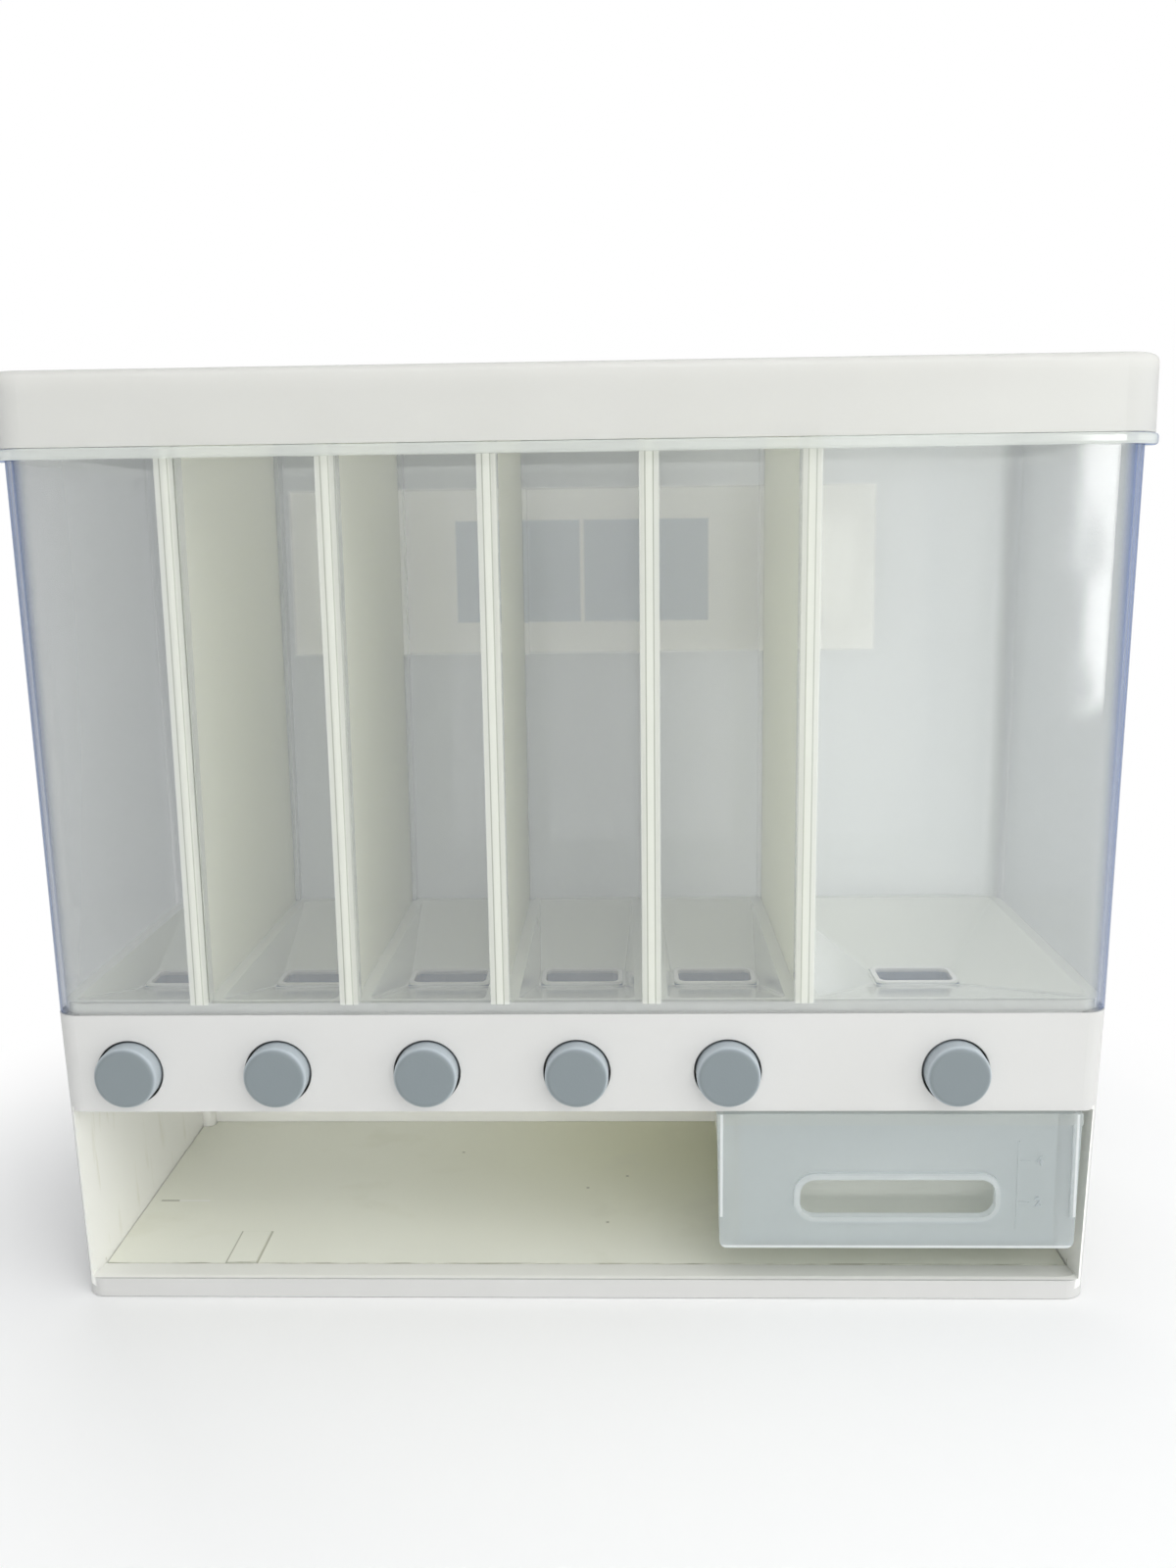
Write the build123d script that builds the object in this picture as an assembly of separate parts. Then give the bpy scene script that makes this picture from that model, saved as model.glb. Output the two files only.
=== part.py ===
from build123d import *
import math
import os

# Six-compartment grain dispenser, in millimetres.
# X runs to the right, Y from the front to the wall, Z up.
# The origin is the middle of the base's underside.

# Compartments
UNIT = 58.0                     # pitch of the narrow compartments
SHARES = (1, 1, 1, 1, 1, 2)     # width of each compartment, in units
INNER_DEPTH = 150.0             # front to back, inside, at half height

# Clear container
BOX_HEIGHT = 210.0              # foot to the underside of the flange
BOX_WALL = 2.2
BOX_DRAFT = 2.8                 # how far each wall leans out, foot to flange
BOX_CORNER = 12.0
FLANGE_THICK = 4.0
FLANGE_OUT = 4.4
FLANGE_ROUND = 1.2
NECK_HEIGHT = 21.5              # neck above the flange, inside the lid
RIB_WIDTH = 2.0
RIB_DEPTH = 5.0
RIB_BELOW_NECK = 9.0            # rib ends stand this far below the neck's top

# Dividers
DIVIDER_THICK = 2.4
DIVIDER_PLAY = 0.2              # on each face, in its groove
DIVIDER_EDGE_GAP = 0.3
DIVIDER_BELOW_NECK = 7.0

# Lid and its seal
LID_HEIGHT = 27.0
LID_WALL = 2.0
LID_INSET = 1.0                 # the flange stands this far outside the lid
LID_EDGE = 3.0                  # rounding of the top edge
LID_SEAT_GAP = 0.3
LID_RIB_THICK = 1.6             # ring under the lid, inside the neck
LID_RIB_GAP = 0.5
SEAL_OUT = 0.2                  # the seal stands this far outside the neck
SEAL_GAP = 0.3

# Hopper floor
HOPPER_RISE = 4.0               # floor's rim above the base
HOPPER_WALL = 2.0
HOPPER_GAP = 0.3                # to the container's wall
HOPPER_SKIRT = 1.8
RIDGE_WIDTH = 13.0              # flat ridge under each divider
RIM_MARGIN = 4.0                # flat rim at the front and back
OUTLET_WIDTH = 31.5
OUTLET_DEPTH = 16.0
OUTLET_DROP = 16.0              # rim to outlet
OUTLET_CORNER = 3.0
FRAME_WIDTH = 2.0               # raised frame round each outlet
FRAME_HEIGHT = 1.2
LANDING = 1.0                   # flat strip outside the frame
FIN_THICK = 1.6
FIN_HEIGHT = 7.0

# Base
BASE_HEIGHT = 118.3
BASE_STEP = 1.3                 # the base stands this far inside the container's foot
BASE_DRAFT_SIDE = 3.5
BASE_DRAFT_FRONT = 1.0
BASE_WALL = 3.0
BASE_CORNER = 8.0
PANEL_HEIGHT = 39.5             # button panel, down from the base's top
LEDGE_THICK = 2.8               # ring that carries the bay's floor
LEDGE_WIDTH = 8.0
RAIL_HEIGHT = 7.6               # front rail of the bay
RAIL_DEPTH = 15.0
RAIL_ROUND = 2.4

# Bay floor
FLOOR_THICK = 2.5
FLOOR_GAP = 0.4                 # round the floor's edges
CORNER_POST = 3.6               # round screw posts in the bay's rear corners
CORNER_POST_SET = 2.0           # post axis to the bay's side and back
TAB_WIDTH = 12.0                # raised tab at the floor's front seam
TAB_LENGTH = 24.0
TAB_RELIEF = 0.5
TAB_INSET = 50.0                # tab to the bay's left wall
UNDER_RIB = 2.4                 # stiffening ribs under the floor
UNDER_PITCH_X = 62.0
UNDER_PITCH_Y = 42.0

# Buttons
BUTTON_DROP = 23.3              # centre below the base's top
BUTTON_RADIUS = 12.2
BUTTON_GAP = 0.7
BUTTON_PROUD = 6.5
BUTTON_WALL = 2.0
BUTTON_EDGE = 2.2
BUTTON_TRAVEL = 10.0
BUTTON_OVERLAP = 3.5            # skirt left in its sleeve beyond the travel
SLEEVE_WALL = 1.5
SLEEVE_LENGTH = 8.0
SOCKET_WALL = 1.6               # socket that takes the rod, inside the cap
SOCKET_LENGTH = 10.0

# Gates
GATE_THICK = 3.0
GATE_MARGIN = 2.5               # gate beyond the outlet on each side
GATE_LAP = 1.5                  # closed stretch between the outlet and the window
GATE_WINDOW = 12.0
GATE_NOSE = 4.5                 # plate in front of the window
GATE_TAIL = 3.0                 # plate behind the outlet
GATE_GAP = 0.3
ROD_RADIUS = 4.0
ROD_GAP = 0.4

# Springs
SPRING_WIRE = 1.0
SPRING_RADIUS = 7.6             # to the middle of the wire
SPRING_TURNS = 7
SPRING_GAP = 0.3

# Valve deck
DECK_THICK = 3.0
DECK_GAP = 0.4
CHUTE_MARGIN = 1.0              # chute beyond the outlet on each side
CHUTE_WALL = 2.0
GATE_RAIL = 2.4
STOP_WALL = 3.0                 # upright that the spring pushes against
STOP_BEHIND = 4.0               # from the pressed button to the upright
STOP_HALF_WIDTH = 11.0
STOP_RISE = 10.0                # upright above the rod's centre
CUP_RAIL_WALL = 2.0
CUP_RAIL_LIP = 1.8

# Screws that hold the deck
SCREW_RADIUS = 1.5
SCREW_HOLE = 1.8
SCREW_HEAD_RADIUS = 3.0
SCREW_HEAD = 2.0
SCREW_LENGTH = 14.0
POST_WIDTH = 9.0                # square posts behind the panel
POST_HEIGHT = 20.0
POST_SET = 9.5                  # screw axis to the panel's face

# Measuring cup
CUP_WIDTH = 140.0
CUP_TAPER = 1.2                 # each side, top to bottom
CUP_ABOVE_FLOOR = 16.7          # cup's underside to the bay's floor
CUP_SIDE_GAP = 4.5              # fascia to the bay's side wall
CUP_TOP_GAP = 0.8
CUP_WALL = 1.8
CUP_FASCIA = 2.0
CUP_CORNER = 3.0
CUP_BOX_INSET = 7.0             # box behind the fascia, narrower on each side
CUP_BOX_CORNER = 6.0
CUP_LENGTH = 117.0
CUP_FLANGE = 4.0
CUP_FLANGE_THICK = 2.0
CUP_FLANGE_DROP = 1.0           # flange below the fascia's top
CUP_FINGER_ROOM = 18.0          # fascia to the cup's inner front wall
CUP_BAND = 4.6                  # raised band along the fascia's top
CUP_RELIEF = 1.0
SLOT_WIDTH = 75.5
SLOT_HEIGHT = 15.5
SLOT_CORNER = 6.0
SLOT_RISE = 21.5                # fascia's bottom to the slot's centre
SLOT_RIM = 2.5
SLOT_RIM_RELIEF = 1.5
CUP_LIP = 2.4                   # raised lip down each side of the fascia
CUP_LIP_RISE = 13.5             # the lips end this far above the fascia's bottom
SCALE_INSET = 24.0              # scale line to the fascia's right edge
SCALE_TOP = 11.5                # scale's top below the fascia's top
SCALE_RISE = 8.0                # scale's bottom above the fascia's bottom
SCALE_TICK = 5.0
SCALE_TICK_DROP = 8.0           # scale's top to its upper tick
SCALE_TICK_RISE = 11.5          # scale's bottom to its lower tick
SCALE_LINE = 0.7
SCALE_RELIEF = 0.4
CUP_GAP = 0.3
CUP_SIDE_PLAY = 0.5

# Wall plate and hooks
PLATE_WIDTH = 278.0
PLATE_HEIGHT = 78.0
PLATE_BELOW_FLANGE = 7.0
PLATE_DEPTH = 8.0
PLATE_SKIN = 3.0
PLATE_WALL = 2.5
PLATE_CORNER = 8.0
PLATE_GAP = 0.3
WINDOW_WIDTH = 59.0
WINDOW_HEIGHT = 48.0
WINDOW_BAR = 2.0
PAD_MARGIN = 3.0                # foam pad beyond the windows
POCKET_WIDTH = 25.0
POCKET_HEIGHT = 50.0
POCKET_INSET = 11.0             # pocket to the plate's end
OPENING_CORNER = 2.0
HOOK_PLAY = 2.0                 # hook beside the pocket's sides
HOOK_THICK = 3.0
HOOK_ARM = 6.0
HOOK_TONGUE = 9.0
HOOK_GAP = 0.3
WALL_SCREW_RADIUS = 2.2
WALL_SCREW_SPACING_X = 150.0
WALL_SCREW_SPACING_Z = 62.0
WALL_SCREW_BOSS = 5.0

# Widths and places that follow
TOTAL_UNITS = sum(SHARES)
INNER_WIDTH = TOTAL_UNITS * UNIT
FOOT_Z = BASE_HEIGHT
FLANGE_Z = FOOT_Z + BOX_HEIGHT
NECK_Z = FLANGE_Z + FLANGE_THICK
NECK_TOP = NECK_Z + NECK_HEIGHT
LID_BOTTOM = NECK_Z + LID_SEAT_GAP
LID_TOP = LID_BOTTOM + LID_HEIGHT
RIM_Z = BASE_HEIGHT + HOPPER_RISE
OUTLET_Z = RIM_Z - OUTLET_DROP
PANEL_BOTTOM = BASE_HEIGHT - PANEL_HEIGHT
BUTTON_Z = BASE_HEIGHT - BUTTON_DROP
BAY_FLOOR = LEDGE_THICK + FLOOR_THICK
DECK_TOP = PANEL_BOTTOM + DECK_THICK
GATE_TOP = BUTTON_Z + GATE_THICK / 2
GATE_BOTTOM = BUTTON_Z - GATE_THICK / 2


def box_half(inner, z):
    """Outer half size of the container at height z, for an inside size given at half height."""
    rise = min(z, FLANGE_Z) - FOOT_Z
    return inner / 2 + BOX_WALL + BOX_DRAFT * (rise / BOX_HEIGHT - 0.5)


def base_half(z, front=False):
    """Outer half width of the base at height z, or its half depth."""
    drop = (BASE_HEIGHT - z) / BASE_HEIGHT
    if front:
        return box_half(INNER_DEPTH, FOOT_Z) - BASE_DRAFT_FRONT * drop
    return box_half(INNER_WIDTH, FOOT_Z) - BASE_STEP - BASE_DRAFT_SIDE * drop


FRONT_Y = -base_half(BASE_HEIGHT, front=True)
BUTTON_FRONT = FRONT_Y - BUTTON_PROUD
BUTTON_BACK = FRONT_Y + BASE_WALL + BUTTON_OVERLAP
CAP_INSIDE = BUTTON_FRONT + BUTTON_WALL
SLEEVE_END = FRONT_Y + BASE_WALL + SLEEVE_LENGTH
STOP_Y = BUTTON_BACK + BUTTON_TRAVEL + STOP_BEHIND
GATE_FRONT = -OUTLET_DEPTH / 2 - GATE_LAP - GATE_WINDOW - GATE_NOSE
GATE_BACK = OUTLET_DEPTH / 2 + GATE_TAIL
GATE_WIDTH = OUTLET_WIDTH + 2 * GATE_MARGIN
CUP_TOP = PANEL_BOTTOM - CUP_TOP_GAP
CUP_BOTTOM = BAY_FLOOR + CUP_ABOVE_FLOOR
SLOT_Z = CUP_BOTTOM + SLOT_RISE
CUP_RIGHT = base_half(PANEL_BOTTOM) - BASE_WALL - CUP_SIDE_GAP
CUP_X = CUP_RIGHT - CUP_WIDTH / 2
CUP_BOX_HALF = CUP_WIDTH / 2 - CUP_BOX_INSET
FLANGE_TOP = CUP_TOP - CUP_FLANGE_DROP
CUP_RAIL_TOP = FLANGE_TOP - CUP_FLANGE_THICK - CUP_GAP
CUP_RAIL_BOTTOM = CUP_RAIL_TOP - CUP_RAIL_LIP
PLATE_TOP = FLANGE_Z - PLATE_BELOW_FLANGE
PLATE_Z = PLATE_TOP - PLATE_HEIGHT / 2
PLATE_FRONT = box_half(INNER_DEPTH, PLATE_TOP) + PLATE_GAP
POCKET_X = PLATE_WIDTH / 2 - POCKET_INSET - POCKET_WIDTH / 2

# Compartment edges, dividers between them and the outlets' centres
EDGES = [UNIT * (sum(SHARES[:i]) - TOTAL_UNITS / 2) for i in range(len(SHARES) + 1)]
DIVIDER_X = EDGES[1:-1]
OUTLET_X = [(left + right) / 2 for left, right in zip(EDGES, EDGES[1:])]


def block(x, y, z):
    """A box from pairs of limits along X, Y and Z."""
    size = (x[1] - x[0], y[1] - y[0], z[1] - z[0])
    middle = ((x[0] + x[1]) / 2, (y[0] + y[1]) / 2, (z[0] + z[1]) / 2)
    return Pos(*middle) * Box(*size)


def slab(half_x, half_y, radius, z):
    """A rounded rectangle about the origin, raised between two heights."""
    outline = RectangleRounded(2 * half_x, 2 * half_y, radius)
    return extrude(Pos(0, 0, z[0]) * outline, z[1] - z[0])


def drafted(half_x, half_y, radius, z):
    """A rounded block whose half sizes are functions of height."""
    ends = [Pos(0, 0, h) * RectangleRounded(2 * half_x(h), 2 * half_y(h), radius) for h in z]
    return loft(ends, ruled=True)


def along_y(outline, y, x=0.0, z=0.0):
    """Stand a sketch up in the XZ plane at (x, z) and extrude it between two depths."""
    plane = Plane((x, y[0], z), x_dir=(1, 0, 0), z_dir=(0, 1, 0))
    flipped = mirror(outline, Plane.XZ)
    return extrude(plane * flipped, y[1] - y[0])


def rod_y(radius, y, x, z):
    """A round bar along Y."""
    return along_y(Circle(radius), y, x, z)


def rod_z(radius, z, x, y):
    """A round bar along Z."""
    return extrude(Pos(x, y, z[0]) * Circle(radius), z[1] - z[0])


def across_x(points, x):
    """A profile of (y, z) points, extruded between two places along X."""
    plane = Plane((x[0], 0, 0), x_dir=(0, 1, 0), z_dir=(1, 0, 0))
    return extrude(plane * Polygon(*points, align=None), x[1] - x[0])


def box_outer(inset, z):
    """The container's drafted body, drawn in by an inset."""
    return drafted(
        lambda h: box_half(INNER_WIDTH, h) - inset,
        lambda h: box_half(INNER_DEPTH, h) - inset,
        BOX_CORNER - inset,
        z,
    )


def neck_slab(inset, z):
    """A straight rounded block of the neck's size, drawn in by an inset."""
    half_x = box_half(INNER_WIDTH, FLANGE_Z) - inset
    half_y = box_half(INNER_DEPTH, FLANGE_Z) - inset
    return slab(half_x, half_y, BOX_CORNER - inset, z)


def base_body(inset, z, radius):
    """The base's drafted body, drawn in by an inset."""
    return drafted(
        lambda h: base_half(h) - inset,
        lambda h: base_half(h, front=True) - inset,
        radius,
        z,
    )


# Container
def make_container():
    shell = box_outer(0, (FOOT_Z, FLANGE_Z)) + neck_slab(0, (FLANGE_Z, NECK_TOP))
    ribs = make_ribs() & shell
    flange = neck_slab(-FLANGE_OUT, (FLANGE_Z, NECK_Z))
    flange = fillet(flange.edges().filter_by(Plane.XY), FLANGE_ROUND)
    hollow = box_outer(BOX_WALL, (FOOT_Z, FLANGE_Z)) + neck_slab(BOX_WALL, (FLANGE_Z, NECK_TOP))
    return shell + flange - hollow + ribs + make_hooks()


def make_ribs():
    reach = box_half(INNER_DEPTH, FOOT_Z) - BOX_WALL - RIB_DEPTH
    far = box_half(INNER_DEPTH, NECK_TOP)
    height = (RIM_Z + HOPPER_GAP, NECK_TOP - RIB_BELOW_NECK)
    groove = DIVIDER_THICK / 2 + DIVIDER_PLAY
    ribs = []
    for x in DIVIDER_X:
        for side in (-1, 1):
            inner = x + side * groove
            outer = x + side * (groove + RIB_WIDTH)
            span = (min(inner, outer), max(inner, outer))
            ribs.append(block(span, (-far, -reach), height))
            ribs.append(block(span, (reach, far), height))
    return Part() + ribs


def make_hooks():
    half = POCKET_WIDTH / 2 - HOOK_PLAY
    root = box_half(INNER_DEPTH, PLATE_Z - PLATE_HEIGHT / 2) - BOX_WALL / 2
    behind = PLATE_FRONT + PLATE_SKIN + HOOK_GAP
    seat = PLATE_Z - POCKET_HEIGHT / 2 + HOOK_GAP
    hooks = []
    for x in (-POCKET_X, POCKET_X):
        span = (x - half, x + half)
        hooks.append(block(span, (root, behind + HOOK_THICK), (seat, seat + HOOK_ARM)))
        hooks.append(block(span, (behind, behind + HOOK_THICK), (seat - HOOK_TONGUE, seat + HOOK_ARM)))
    return Part() + hooks


# Divider
def make_divider(x):
    low = RIM_Z
    high = NECK_TOP - DIVIDER_BELOW_NECK
    inset = BOX_WALL + DIVIDER_EDGE_GAP
    low_y = box_half(INNER_DEPTH, low) - inset
    high_y = box_half(INNER_DEPTH, high) - inset
    points = [(-low_y, low), (low_y, low), (high_y, high), (-high_y, high)]
    return across_x(points, (x - DIVIDER_THICK / 2, x + DIVIDER_THICK / 2))


# Lid and seal
def make_lid():
    outside = LID_INSET - FLANGE_OUT
    ceiling = LID_TOP - LID_WALL
    lid = neck_slab(outside, (LID_BOTTOM, LID_TOP))
    lid = fillet(lid.faces().sort_by(Axis.Z)[-1].edges(), LID_EDGE)
    lid -= neck_slab(outside + LID_WALL, (LID_BOTTOM, ceiling))
    ring_out = BOX_WALL + LID_RIB_GAP
    ring_height = (NECK_TOP - DIVIDER_BELOW_NECK / 2, ceiling)
    ring = neck_slab(ring_out, ring_height) - neck_slab(ring_out + LID_RIB_THICK, ring_height)
    return lid + ring


def make_seal():
    height = (NECK_TOP + SEAL_GAP, LID_TOP - LID_WALL)
    return neck_slab(-SEAL_OUT, height) - neck_slab(BOX_WALL + SEAL_OUT, height)


# Hopper floor
def funnel(width, depth, x, swell, drop):
    """A funnel from a compartment's mouth to the landing round its outlet."""
    landing = 2 * (FRAME_WIDTH + LANDING)
    mouth = RectangleRounded(width + 2 * swell, depth + 2 * swell, OUTLET_CORNER)
    foot_size = (OUTLET_WIDTH + landing + 2 * swell, OUTLET_DEPTH + landing + 2 * swell)
    foot = RectangleRounded(*foot_size, OUTLET_CORNER)
    return loft([Pos(x, 0, OUTLET_Z - drop) * foot, Pos(x, 0, RIM_Z - drop) * mouth], ruled=True)


def outlet_column(x, grow, z):
    """A rounded column of the outlet's size at an outlet's centre."""
    outline = RectangleRounded(OUTLET_WIDTH + 2 * grow, OUTLET_DEPTH + 2 * grow, OUTLET_CORNER)
    return extrude(Pos(x, 0, z[0]) * outline, z[1] - z[0])


def make_hopper_floor():
    half_x = box_half(INNER_WIDTH, FOOT_Z) - BOX_WALL - HOPPER_GAP
    half_y = box_half(INNER_DEPTH, FOOT_Z) - BOX_WALL - HOPPER_GAP
    radius = BOX_CORNER - BOX_WALL - HOPPER_GAP
    floor = slab(half_x, half_y, radius, (BASE_HEIGHT, RIM_Z))
    under = (BASE_HEIGHT, RIM_Z - HOPPER_WALL)
    floor -= slab(half_x - HOPPER_SKIRT, half_y - HOPPER_SKIRT, radius - HOPPER_SKIRT, under)
    mouth_depth = 2 * (half_y - RIM_MARGIN)
    collar = (GATE_TOP + GATE_GAP, OUTLET_Z)
    for i, x in enumerate(OUTLET_X):
        mouth = EDGES[i + 1] - EDGES[i] - RIDGE_WIDTH
        floor += funnel(mouth, mouth_depth, x, HOPPER_WALL, HOPPER_WALL)
        floor += outlet_column(x, HOPPER_WALL, collar)
        floor += make_fins(x, half_y - HOPPER_SKIRT)
        floor -= funnel(mouth, mouth_depth, x, 0, 0)
        floor += outlet_column(x, FRAME_WIDTH, (OUTLET_Z, OUTLET_Z + FRAME_HEIGHT))
        floor -= outlet_column(x, 0, (collar[0], OUTLET_Z + FRAME_HEIGHT))
    return floor


def make_fins(x, front):
    """Two upright fins from the floor's front skirt to an outlet's collar."""
    top = RIM_Z - HOPPER_WALL
    fins = []
    for side in (-1, 1):
        middle = x + side * (OUTLET_WIDTH + FIN_THICK) / 2
        span = (middle - FIN_THICK / 2, middle + FIN_THICK / 2)
        fins.append(block(span, (-front, -OUTLET_DEPTH / 2), (top - FIN_HEIGHT, top)))
    return Part() + fins


# Screw places: two behind the panel between gates, two over the bay's rear corners
def front_screws():
    return [(DIVIDER_X[0], FRONT_Y + POST_SET), (DIVIDER_X[3], FRONT_Y + POST_SET)]


def rear_screws():
    x = base_half(0) - BASE_WALL - CORNER_POST_SET
    y = base_half(0, front=True) - BASE_WALL - CORNER_POST_SET
    return [(-x, y), (x, y)]


# Base frame
def make_base_frame():
    inner_corner = BASE_CORNER - BASE_WALL
    base = base_body(0, (0, BASE_HEIGHT), BASE_CORNER)
    base -= base_body(BASE_WALL, (LEDGE_THICK, BASE_HEIGHT), inner_corner)
    opening = BASE_WALL + LEDGE_WIDTH
    base -= slab(base_half(0) - opening, base_half(0, front=True) - opening, inner_corner, (0, LEDGE_THICK))
    base += make_rail()
    base -= make_bay_mouth()
    hole = BUTTON_RADIUS + BUTTON_GAP
    for x in OUTLET_X:
        base += rod_y(hole + SLEEVE_WALL, (FRONT_Y + BASE_WALL / 2, SLEEVE_END), x, BUTTON_Z)
        base -= rod_y(hole, (FRONT_Y - BASE_WALL, SLEEVE_END), x, BUTTON_Z)
    return base + make_posts()


def make_rail():
    """The rounded rail along the bay's front edge, falling back to the floor's seam."""
    front = -base_half(0, front=True)
    back = front + RAIL_DEPTH
    plane = Plane((-base_half(0), 0, 0), x_dir=(0, 1, 0), z_dir=(1, 0, 0))
    profile = Polygon((front, 0), (back, 0), (back, BAY_FLOOR), (front, RAIL_HEIGHT), align=None)
    crest = profile.vertices().sort_by(Axis.Y)[-1]
    rail = extrude(plane * fillet(crest, RAIL_ROUND), 2 * base_half(0))
    return rail & base_body(BASE_WALL / 2, (0, BASE_HEIGHT), BASE_CORNER - BASE_WALL / 2)


def make_bay_mouth():
    """The open front of the bay, between the side walls, the panel and the rail."""
    reach = 2 * RAIL_DEPTH
    ends = []
    for z in (RAIL_HEIGHT, PANEL_BOTTOM):
        ends.append(Pos(0, FRONT_Y, z) * Rectangle(2 * (base_half(z) - BASE_WALL), reach))
    return loft(ends, ruled=True)


def make_posts():
    """Posts that the deck's screws bite into: square behind the panel, round in the rear corners."""
    posts = []
    for x, y in front_screws():
        depth = (FRONT_Y + BASE_WALL / 2, y + POST_WIDTH / 2)
        post = block((x - POST_WIDTH / 2, x + POST_WIDTH / 2), depth, (DECK_TOP, DECK_TOP + POST_HEIGHT))
        posts.append(post - rod_z(SCREW_RADIUS, (DECK_TOP, PANEL_BOTTOM + SCREW_LENGTH), x, y))
    for x, y in rear_screws():
        post = rod_z(CORNER_POST, (LEDGE_THICK, PANEL_BOTTOM), x, y)
        post &= base_body(0, (0, BASE_HEIGHT), BASE_CORNER)
        posts.append(post - rod_z(SCREW_RADIUS, (DECK_TOP - SCREW_LENGTH, PANEL_BOTTOM), x, y))
    return Part() + posts


# Screws: the front pair points up into the posts, the rear pair down into the bay's corners
def make_deck_screws():
    screws = []
    for x, y in front_screws():
        head = rod_z(SCREW_HEAD_RADIUS, (PANEL_BOTTOM - SCREW_HEAD, PANEL_BOTTOM), x, y)
        screws.append(head + rod_z(SCREW_RADIUS, (PANEL_BOTTOM, PANEL_BOTTOM + SCREW_LENGTH), x, y))
    for x, y in rear_screws():
        head = rod_z(SCREW_HEAD_RADIUS, (DECK_TOP, DECK_TOP + SCREW_HEAD), x, y)
        screws.append(head + rod_z(SCREW_RADIUS, (DECK_TOP - SCREW_LENGTH, DECK_TOP), x, y))
    return Compound(children=[screw.solid() for screw in screws])


# Bay floor: a loose plate between the rail and the walls, cut out round the corner posts
def make_base_floor():
    front = -base_half(0, front=True) + RAIL_DEPTH + FLOOR_GAP
    inset = BASE_WALL + FLOOR_GAP
    back = base_half(0, front=True) - inset
    floor = base_body(inset, (LEDGE_THICK, BAY_FLOOR), BASE_CORNER - inset)
    half = base_half(BASE_HEIGHT)
    floor &= block((-half, half), (front, back), (LEDGE_THICK, BAY_FLOOR))
    for x, y in rear_screws():
        floor -= rod_z(CORNER_POST + FLOOR_GAP, (LEDGE_THICK, BAY_FLOOR), x, y)
    tab = TAB_INSET + BASE_WALL - base_half(0)
    floor += block((tab, tab + TAB_WIDTH), (front, front + TAB_LENGTH), (BAY_FLOOR, BAY_FLOOR + TAB_RELIEF))
    return floor + make_under_ribs(front, back - LEDGE_WIDTH)


def make_under_ribs(front, back):
    """A grid of ribs under the floor, down to the base's underside."""
    half = base_half(0) - BASE_WALL - LEDGE_WIDTH - FLOOR_GAP
    depth = (front, back)
    ribs = []
    for i in (-1, 0, 1):
        y = i * UNDER_PITCH_Y
        ribs.append(block((-half, half), (y - UNDER_RIB / 2, y + UNDER_RIB / 2), (0, LEDGE_THICK)))
    for i in (-2, -1, 0, 1, 2):
        x = i * UNDER_PITCH_X
        ribs.append(block((x - UNDER_RIB / 2, x + UNDER_RIB / 2), depth, (0, LEDGE_THICK)))
    return Part() + ribs


# Valve deck
def make_valve_deck():
    inset = BASE_WALL + DECK_GAP
    deck = base_body(inset, (PANEL_BOTTOM, DECK_TOP), BASE_CORNER - inset) + make_cup_rails()
    sleeve = BUTTON_RADIUS + BUTTON_GAP + SLEEVE_WALL
    for x in OUTLET_X:
        deck += make_gate_guide(x)
        deck -= outlet_column(x, CHUTE_MARGIN, (CUP_RAIL_BOTTOM, GATE_BOTTOM))
        deck -= rod_y(sleeve + DECK_GAP, (FRONT_Y, SLEEVE_END + DECK_GAP), x, BUTTON_Z)
    for x, y in front_screws() + rear_screws():
        deck -= rod_z(SCREW_HOLE, (PANEL_BOTTOM, DECK_TOP), x, y)
    return deck


def make_gate_guide(x):
    """Chute, side rails and spring upright for one gate."""
    guide = outlet_column(x, CHUTE_MARGIN + CHUTE_WALL, (DECK_TOP, GATE_BOTTOM - GATE_GAP))
    inner = GATE_WIDTH / 2 + GATE_GAP
    depth = (GATE_FRONT, GATE_BACK + BUTTON_TRAVEL)
    for side in (-1, 1):
        near = x + side * inner
        far = x + side * (inner + GATE_RAIL)
        guide += block((min(near, far), max(near, far)), depth, (DECK_TOP, GATE_TOP))
    stop = block(
        (x - STOP_HALF_WIDTH, x + STOP_HALF_WIDTH),
        (STOP_Y, STOP_Y + STOP_WALL),
        (DECK_TOP, BUTTON_Z + STOP_RISE),
    )
    return guide + (stop - rod_y(ROD_RADIUS + ROD_GAP, (STOP_Y, STOP_Y + STOP_WALL), x, BUTTON_Z))


def make_cup_rails():
    """Two rails under the deck that the cup's side flanges slide on."""
    web_height = (CUP_RAIL_BOTTOM, PANEL_BOTTOM)
    lip_height = (CUP_RAIL_BOTTOM, CUP_RAIL_TOP)
    behind_screws = FRONT_Y + POST_SET + SCREW_HEAD_RADIUS + CUP_GAP
    depth = (behind_screws, FRONT_Y + CUP_LENGTH)
    web_in = CUP_BOX_HALF + CUP_FLANGE + CUP_SIDE_PLAY
    rails = []
    for side in (-1, 1):
        lip = CUP_X + side * (CUP_BOX_HALF + CUP_SIDE_PLAY)
        inner = CUP_X + side * web_in
        outer = CUP_X + side * (web_in + CUP_RAIL_WALL)
        rails.append(block((min(inner, outer), max(inner, outer)), depth, web_height))
        rails.append(block((min(lip, outer), max(lip, outer)), depth, lip_height))
    return Part() + rails


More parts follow.
